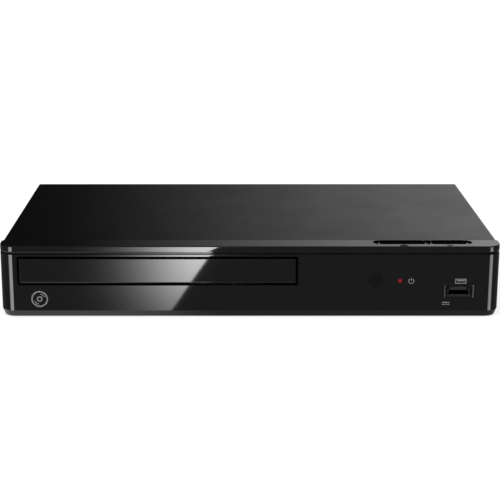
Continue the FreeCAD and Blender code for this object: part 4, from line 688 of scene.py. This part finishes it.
def roundEdges(bm, spec):
    chosen = []
    for edge in bm.edges:
        if not edge.is_manifold or edge.calc_face_angle() < sharpAngle:
            continue
        ends = [vert.co for vert in edge.verts]
        if any(all(isInside(end, *area) for end in ends) for area in spec["areas"]):
            chosen.append(edge)
    bmesh.ops.bevel(bm, geom=chosen, offset=spec["width"] * mm, segments=edgeMaking["shellSteps"], profile=0.5,
                    affect="EDGES", clamp_overlap=False, material=-1)
    return len(chosen)


def trimHeights(bm, low, high, level, stretch):
    for vert in bm.verts:
        if isInside(vert.co, low, high):
            vert.co.z = level * mm + (vert.co.z - level * mm) * stretch


def sinkDepths(bm, low, high, depth):
    for vert in bm.verts:
        if isInside(vert.co, low, high):
            vert.co.y = depth * mm


# Painted shade: faces of the key row's wells take the second slot's matt black, darkening the hollows.
def paintWellShade(bm, low, high):
    wells = [face for face in bm.faces if isInside(face.calc_center_median(), low, high)]
    for face in wells:
        face.material_index = 1
    return len(wells)


def softenNode(node, spec):
    bm = bmesh.new()
    bm.from_mesh(frame["nodes"][node].data)
    bmesh.ops.remove_doubles(bm, verts=bm.verts[:], dist=edgeMaking["shellWeld"] * mm)
    bmesh.ops.dissolve_limit(bm, angle_limit=flatAngle, verts=bm.verts[:], edges=bm.edges[:])
    for trim in spec.get("trims", ()):
        trimHeights(bm, *trim)
    if "sink" in spec:
        sinkDepths(bm, *spec["sink"])
    if spec["width"] > 0:
        print("  ", node, "edges rounded:", roundEdges(bm, spec))
    if "wells" in spec:
        print("  ", node, "faces blackened:", paintWellShade(bm, *spec["wells"]))
    slot = slotOf[node]
    piece = addPiece(bm, node + "_shell", materials[slot], bodyOf[node])
    # The second slot holds the matt black used as painted shade in the key row's wells.
    piece.data.materials.append(materials["print_and_shade_black"])
    flattenFaces(piece)
    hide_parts(node)


def softenShells():
    for node, spec in softEdges.items():
        softenNode(node, spec)
    print("shells softened:", len(softEdges))


# New pieces are made at their own place from blocks, posts and rings, all in millimetres.
postSides = 24
ringSteps = 32
wholeTurn = 360.0


def addBlock(bm, low, high):
    made = bmesh.ops.create_cube(bm, size=1.0)["verts"]
    low, high = Vector(low) * mm, Vector(high) * mm
    bmesh.ops.scale(bm, vec=high - low, verts=made)
    bmesh.ops.translate(bm, vec=(low + high) / 2, verts=made)
    return made


def addPost(bm, centre, radius, length, tip=None):
    made = bmesh.ops.create_cone(bm, cap_ends=True, segments=postSides, radius1=radius * mm,
                                 radius2=(radius if tip is None else tip) * mm, depth=length * mm)["verts"]
    bmesh.ops.translate(bm, vec=Vector(centre) * mm, verts=made)
    return made


def addRing(bm, outer, inner, low, high, start=0.0, sweep=wholeTurn, steps=ringSteps):
    span = bmesh.ops.create_grid(bm, x_segments=1, y_segments=1, size=0.5)["verts"]
    bmesh.ops.rotate(bm, cent=(0, 0, 0), matrix=Matrix.Rotation(math.pi / 2, 3, "X"), verts=span)
    bmesh.ops.scale(bm, vec=((outer - inner) * mm, 1, (high - low) * mm), verts=span)
    bmesh.ops.translate(bm, vec=Vector(((outer + inner) / 2, 0, (low + high) / 2)) * mm, verts=span)
    bmesh.ops.rotate(bm, cent=(0, 0, 0), matrix=Matrix.Rotation(math.radians(start), 3, "Z"), verts=span)
    faces = list({face for vert in span for face in vert.link_faces})
    before = set(bm.verts) - set(span)
    whole = sweep >= wholeTurn
    bmesh.ops.spin(bm, geom=faces + span, cent=(0, 0, 0), axis=(0, 0, 1), angle=math.radians(sweep), steps=steps,
                   use_merge=whole, use_duplicate=False)
    made = [vert for vert in bm.verts if vert not in before]
    if whole:
        inside = [face for vert in made for face in vert.link_faces]
        doubled = [face for face in set(inside) if all(not edge.is_manifold for edge in face.edges)]
        bmesh.ops.delete(bm, geom=doubled, context="FACES_ONLY")
        made = [vert for vert in made if vert.is_valid]
    return made


def finishPiece(bm, name, material, body, place=None, width=None):
    bmesh.ops.remove_doubles(bm, verts=bm.verts[:], dist=edgeMaking["pieceWeld"] * mm)
    if place is not None:
        bmesh.ops.transform(bm, matrix=place, verts=bm.verts[:])
    bmesh.ops.recalc_face_normals(bm, faces=bm.faces[:])
    piece = addPiece(bm, name, materials[material], body)
    if width is not None:
        smoothPiece(piece, width)
    return piece


# Printed marks are thin solids. They are drawn flat, with u across, v up and w out of the surface.
markInk = {"low": -0.03, "high": 0.04}
facing = {
    "front": Matrix(((1, 0, 0, 0), (0, 0, -1, 0), (0, 1, 0, 0), (0, 0, 0, 1))),
    "top": Matrix.Identity(4),
    "rear": Matrix(((-1, 0, 0, 0), (0, 0, 1, 0), (0, 1, 0, 0), (0, 0, 0, 1))),
}

# The drawings, in shares of a mark's size. A bar is given by two corners, and a box by its half width, half height
# and line. The ribs between the key row's wells are dark over their rear part, as painted shade, and drawn in
# millimetres.
halfRing = {"radius": 0.25, "line": 0.09, "sweep": 180}
discTrack = {"radius": 0.34, "line": 0.05, "sweep": 55}
powerRing = {"radius": 0.5, "start": 125, "sweep": 290}
drawings = {
    "disc": {
        "rings": (
            {"radius": 0.5, "line": 0.08},
            {"radius": 0.17, "line": 0.07},
            {**discTrack, "start": 25},
            {**discTrack, "start": 205},
        ),
    },
    "power": {"rings": ({**powerRing, "line": 0.12},), "bars": ((-0.06, 0.05, 0.06, 0.58),)},
    "powerKey": {"rings": ({**powerRing, "line": 0.2},), "bars": ((-0.1, 0.05, 0.1, 0.58),)},
    "eject": {
        "rings": ({"v": 0.1, "radius": 0.56, "line": 0.5, "tall": 0.5, "start": -30, "steps": 3},),
        "bars": ((-0.5, -0.38, 0.5, -0.14),),
    },
    "port": {"boxes": ((0.5, 0.22, 0.07),), "bars": ((-0.346, 0.007, 0.346, 0.108),)},
    "direct": {
        "bars": (
            (-0.5, 0.12, 0.5, 0.24),
            (-0.5, -0.16, -0.25, -0.04),
            (-0.125, -0.16, 0.125, -0.04),
            (0.25, -0.16, 0.5, -0.04),
        ),
    },
    "ribShade": {
        "bars": (
            (80.12, -3.1, 80.68, 3.1),
            (109.32, -3.1, 109.88, 3.1),
            (112.72, -3.1, 113.28, 3.1),
            (135.22, -3.1, 135.78, 3.1),
        ),
    },
    "screen": {"boxes": ((0.5, 0.32, 0.08),), "bars": ((-0.22, -0.48, 0.22, -0.4),)},
    "network": {
        "bars": (
            (-0.16, 0.2, 0.16, 0.48),
            (-0.5, -0.4, -0.18, -0.12),
            (-0.37, -0.12, -0.31, 0.07),
            (0.18, -0.4, 0.5, -0.12),
            (0.31, -0.12, 0.37, 0.07),
            (-0.37, 0.04, 0.37, 0.1),
            (-0.03, 0.04, 0.03, 0.2),
        ),
    },
    "target": {"rings": ({"radius": 0.5, "line": 0.09}, {"radius": 0.2, "line": 0.19})},
    "wave": {"rings": ({**halfRing, "u": -0.25}, {**halfRing, "u": 0.16, "start": 180})},
}


# Each mark: its drawing, size, face, place in the row's frame and ink.
marks = {
    "disc_mark": ("disc", 10.4, "front", (-131.3, -90.8, 12.0), "mark_grey"),
    "lamp_mark": ("power", 3.6, "front", (100.4, -90.8, 23.7), "mark_grey"),
    "port_mark": ("port", 7.0, "front", (131.2, -90.8, 23.6), "mark_grey"),
    "rating_mark": ("direct", 4.6, "front", (122.4, -90.8, 9.0), "mark_grey"),
    "open_mark": ("eject", 5.2, "top", (95.5, -88.1, 46.0), "print_and_shade_black"),
    "power_mark": ("powerKey", 3.5, "top", (123.9, -88.3, 46.0), "print_and_shade_black"),
    # painted shade: matt black over the rear part of the ribs between the key row's wells
    "rib_shade_lines": ("ribShade", 1.0, "top", (0, -78.7, 46.0), "print_and_shade_black"),
    "screen_mark": ("screen", 6.0, "rear", (45.2, 88.5, 21.5), "mark_grey"),
    "network_mark": ("network", 6.0, "rear", (67.5, 88.5, 29.0), "mark_grey"),
    "audio_mark": ("target", 5.0, "rear", (87.5, 88.5, 28.5), "mark_grey"),
    "mains_mark": ("wave", 6.0, "rear", (134.0, 88.5, 28.5), "mark_grey"),
}


def inkBar(bm, size, u0, v0, u1, v1):
    addBlock(bm, (u0 * size, v0 * size, markInk["low"]), (u1 * size, v1 * size, markInk["high"]))


def inkBox(bm, size, half, rise, line):
    inkBar(bm, size, -half, rise - line, half, rise)
    inkBar(bm, size, -half, -rise, half, line - rise)
    inkBar(bm, size, -half, line - rise, line - half, rise - line)
    inkBar(bm, size, half - line, line - rise, half, rise - line)


def inkRing(bm, size, radius, line, u=0.0, v=0.0, tall=1.0, start=0.0, sweep=wholeTurn, steps=ringSteps):
    outer, inner = radius * size, (radius - line) * size
    made = addRing(bm, outer, inner, markInk["low"], markInk["high"], start, sweep, steps)
    bmesh.ops.scale(bm, vec=(1, tall, 1), verts=made)
    bmesh.ops.translate(bm, vec=Vector((u, v, 0)) * size * mm, verts=made)


def drawMark(bm, drawing, size):
    for sides in drawing.get("boxes", ()):
        inkBox(bm, size, *sides)
    for ring in drawing.get("rings", ()):
        inkRing(bm, size, **ring)
    for corners in drawing.get("bars", ()):
        inkBar(bm, size, *corners)


def makeMarks():
    for name, (drawing, size, face, place, ink) in marks.items():
        bm = bmesh.new()
        drawMark(bm, drawings[drawing], size)
        finishPiece(bm, name, ink, "chassis",
                    place=Matrix.Translation(Vector(place) * mm) @ facing[face])
    print("marks printed:", len(marks))


# A shallow band fills the groove under the lip, so that the front's reflection carries on through it, only weaker.
# Its darker, less glossy finish is painted shade of the groove.
grooveBand = {"low": (-146.6, -90.3, 40.85), "high": (146.6, -89.1, 42.0)}


def makeGrooveBand(spec):
    bm = bmesh.new()
    addBlock(bm, spec["low"], spec["high"])
    finishPiece(bm, "groove_band", "groove_shade_gloss", "chassis")
    print("groove filled")


# A black liner leads from the port's opening to the socket behind it. Its sill, where it faces up, is painted paler:
# painted light falling on it.
portLiner = {
    "x": 130.4,
    "z": 16.9,
    "corner": 0.8,
    "cornerSteps": 4,
    "edge": 0.15,
    "litSillFacing": 0.4,
    # depth, width and height of each loop, from the front inwards and back round behind
    "loops": ((-90.1, 16.5, 7.1), (-89.9, 15.9, 6.5), (-88.8, 14.0, 5.9), (-88.45, 12.5, 5.1), (-88.35, 16.5, 7.1)),
}


def roundLoop(bm, width, height, corner, steps):
    made = bmesh.ops.create_grid(bm, x_segments=1, y_segments=1, size=0.5)["verts"]
    bmesh.ops.scale(bm, vec=(width * mm, height * mm, 1), verts=made)
    bmesh.ops.bevel(bm, geom=made, offset=corner * mm, segments=steps, profile=0.5, affect="VERTICES", material=-1)
    face = next(iter(bm.faces))
    edges = list(face.edges)
    bmesh.ops.delete(bm, geom=[face], context="FACES_ONLY")
    return edges


def growRim(bm, edges, widen, rise):
    made = bmesh.ops.extrude_edge_only(bm, edges=edges)["geom"]
    verts = [part for part in made if isinstance(part, bmesh.types.BMVert)]
    bmesh.ops.scale(bm, vec=(widen[0], widen[1], 1), verts=verts)
    bmesh.ops.translate(bm, vec=(0, 0, rise * mm), verts=verts)
    return [part for part in made if isinstance(part, bmesh.types.BMEdge) and part.is_boundary]


def makePortLiner(spec):
    bm = bmesh.new()
    frontY, width, height = spec["loops"][0]
    rim = roundLoop(bm, width, height, spec["corner"], spec["cornerSteps"])
    first = list(rim)
    y = frontY
    for nextY, nextWidth, nextHeight in spec["loops"][1:]:
        rim = growRim(bm, rim, (nextWidth / width, nextHeight / height), y - nextY)
        y, width, height = nextY, nextWidth, nextHeight
    bmesh.ops.bridge_loops(bm, edges=first + rim)
    place = Matrix.Translation(Vector((spec["x"], frontY, spec["z"])) * mm) @ facing["front"]
    liner = finishPiece(bm, "port_liner", "liner_black", "chassis", place=place,
                        width=spec["edge"])
    # Painted light: the liner's upward faces take the paler sill grey.
    liner.data.materials.append(materials["sill_lit_grey"])
    for face in liner.data.polygons:
        if face.normal.z > spec["litSillFacing"]:
            face.material_index = 1
    print("port lined")


# Screws with a cross recess take the place of the plain ones, on the same axes.
screwLook = {
    "radius": 2.79,
    "shank": 1.5,
    "tall": 6.6,
    "head": 1.6,
    "flat": 0.78,  # shares of the head's radius, where its top is flat and where its shoulder is
    "shoulder": 0.95,
    "dome": 0.16,
    "point": 0.4,  # the tip's width and height, as shares of the shank's radius
    "pointTall": 0.5,
    "slotLong": 1.5,
    "slotWide": 0.34,
    "slotDeep": 0.9,
    "sides": 20,
    "turn": 37,  # degrees from one screw's slot to the next one's
}
screwAxis = {"case_screws": "Y", "board_screws": "Z", "loader_screws": "Z"}


def addScrew(bm, spec):
    start = set(bm.verts)
    reach, half = spec["slotLong"], spec["slotWide"]
    floor = bmesh.ops.create_grid(bm, x_segments=3, y_segments=3, size=reach * mm)["verts"]
    for vert in floor:
        for axis in (0, 1):
            if abs(vert.co[axis]) < (reach - half) * mm:
                vert.co[axis] = math.copysign(half * mm, vert.co[axis])
    corners = [face for face in bm.faces if face.verts[0] in floor
               and min(abs(value) for value in face.calc_center_median()[:2]) > half * mm]
    bmesh.ops.delete(bm, geom=corners, context="FACES")
    floor = [vert for vert in bm.verts if vert not in start]
    bmesh.ops.translate(bm, vec=(0, 0, -spec["slotDeep"] * mm), verts=floor)
    outline = [edge for edge in bm.edges if edge.is_boundary and edge.verts[0] in floor]
    outline = growRim(bm, outline, (1, 1), spec["slotDeep"])
    made = bmesh.ops.create_circle(bm, segments=spec["sides"], radius=spec["radius"] * spec["flat"] * mm)["verts"]
    rim = [edge for edge in bm.edges if edge.verts[0] in made]
    bmesh.ops.triangle_fill(bm, use_beauty=True, use_dissolve=False, edges=outline + rim)
    shank = spec["shank"] / spec["radius"]
    for widen, drop in (
        (spec["shoulder"] / spec["flat"], spec["dome"]),
        (1 / spec["shoulder"], spec["dome"] * 2),
        (1, spec["head"] - spec["dome"] * 3),
        (shank, 0),
        (1, spec["tall"] - spec["head"] - spec["shank"] * spec["pointTall"]),
        (spec["point"], spec["shank"] * spec["pointTall"]),
    ):
        rim = growRim(bm, rim, (widen, widen), -drop)
    bmesh.ops.holes_fill(bm, edges=rim)
    return [vert for vert in bm.verts if vert not in start]


def islandBoxes(mesh):
    bm = bmesh.new()
    bm.from_mesh(mesh)
    bmesh.ops.remove_doubles(bm, verts=bm.verts[:], dist=edgeMaking["pieceWeld"] * mm)
    waiting = set(bm.verts)
    boxes = []
    while waiting:
        reached = [waiting.pop()]
        for vert in reached:
            for edge in vert.link_edges:
                other = edge.other_vert(vert)
                if other in waiting:
                    waiting.remove(other)
                    reached.append(other)
        boxes.append(([min(vert.co[axis] for vert in reached) for axis in range(3)],
                      [max(vert.co[axis] for vert in reached) for axis in range(3)]))
    bm.free()
    return sorted(boxes)


def makeScrews():
    for node, axis in screwAxis.items():
        bm = bmesh.new()
        boxes = islandBoxes(frame["nodes"][node].data)
        for place, (low, high) in enumerate(boxes):
            made = addScrew(bm, screwLook)
            turn = Matrix.Rotation(math.radians(screwLook["turn"] * place), 4, "Z")
            if axis == "Y":
                turn = Matrix.Rotation(-math.pi / 2, 4, "X") @ turn
                head = ((low[0] + high[0]) / 2, high[1], (low[2] + high[2]) / 2)
            else:
                head = ((low[0] + high[0]) / 2, (low[1] + high[1]) / 2, high[2])
            bmesh.ops.transform(bm, matrix=Matrix.Translation(head) @ turn, verts=made)
        piece = finishPiece(bm, node + "_cut", slotOf[node], bodyOf[node])
        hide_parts(node)
    print("screws cut")


# Rear connectors get their metal: contacts in the network and screen sockets, a sleeve and two pins. A wire is
# given by half its width and thickness, a bore or ring by its outer and inner radius, and a pin's end by its length
# and how thin it gets.
rearMetal = {
    "netX": 67.5,
    "netPitch": 1.02,
    "netWires": 8,
    "netWire": (0.17, 0.15),
    "netFront": (87.0, 20.9),
    "netBack": (77.0, 17.6),
    "screenX": 45.2,
    "screenPitch": 1.0,
    "screenWires": 10,
    "screenWire": (0.2, 0.04),
    "screenZ": (12.7, 13.7),
    "screenY": (79.0, 87.4),
    "audioX": 87.5,
    "audioZ": 16.7,
    "audioRing": (4.3, 3.2),
    "audioRingLong": 0.75,
    "audioBore": (1.64, 1.2),
    "audioY": (80.0, 89.3),
    "audioEdge": 0.12,
    "mainsX": 134.0,
    "mainsZ": 16.9,
    "mainsSpacing": 8.6,
    "mainsPin": 1.28,
    "mainsEnd": (0.8, 0.55),
    "mainsY": (76.9, 86.0),
    "mainsEdge": 0.1,
}


def spreadOut(middle, pitch, count):
    return [middle + (place - (count - 1) / 2) * pitch for place in range(count)]


def makeContacts(spec):
    bm = bmesh.new()
    front, back = spec["netFront"], spec["netBack"]
    half = math.hypot(front[0] - back[0], front[1] - back[1]) / 2
    lean = Matrix.Rotation(math.atan2(front[1] - back[1], front[0] - back[0]), 4, "X")
    wide, thick = spec["netWire"]
    for x in spreadOut(spec["netX"], spec["netPitch"], spec["netWires"]):
        made = addBlock(bm, (-wide, -half, -thick), (wide, half, thick))
        middle = Vector((x, (front[0] + back[0]) / 2, (front[1] + back[1]) / 2)) * mm
        bmesh.ops.transform(bm, matrix=Matrix.Translation(middle) @ lean, verts=made)
    wide, thick = spec["screenWire"]
    inner, outer = spec["screenY"]
    for x in spreadOut(spec["screenX"], spec["screenPitch"], spec["screenWires"]):
        for z in spec["screenZ"]:
            addBlock(bm, (x - wide, inner, z - thick), (x + wide, outer, z + thick))
    finishPiece(bm, "rear_contacts", "contact_gold", "chassis")


def makeAudioSleeve(spec):
    bm = bmesh.new()
    inner, outer = spec["audioY"]
    length = outer - inner
    addRing(bm, *spec["audioBore"], 0, length)
    addRing(bm, *spec["audioRing"], length - spec["audioRingLong"], length)
    place = Matrix.Translation(Vector((spec["audioX"], inner, spec["audioZ"])) * mm) @ facing["rear"]
    finishPiece(bm, "audio_sleeve", "contact_gold", "chassis", place=place, width=spec["audioEdge"])


def makeMainsPins(spec):
    bm = bmesh.new()
    inner, outer = spec["mainsY"]
    length, radius = outer - inner, spec["mainsPin"]
    end, share = spec["mainsEnd"]
    for x in spreadOut(0, spec["mainsSpacing"], 2):
        addPost(bm, (x, 0, (length - end) / 2), radius, length - end)
        addPost(bm, (x, 0, length - end / 2), radius, end, tip=radius * share)
    place = Matrix.Translation(Vector((spec["mainsX"], inner, spec["mainsZ"])) * mm) @ facing["rear"]
    finishPiece(bm, "mains_pins", "bright_steel", "chassis", place=place, width=spec["mainsEdge"])


def makeRearMetal(spec):
    makeContacts(spec)
    makeAudioSleeve(spec)
    makeMainsPins(spec)
    print("rear metal fitted")


makeCamera(photoCamera)
makeStudio()
paintFrame()
softenShells()
makeMarks()
makeGrooveBand(grooveBand)
makePortLiner(portLiner)
makeScrews()
makeRearMetal(rearMetal)
bpy.context.scene.view_settings.view_transform = "Standard"
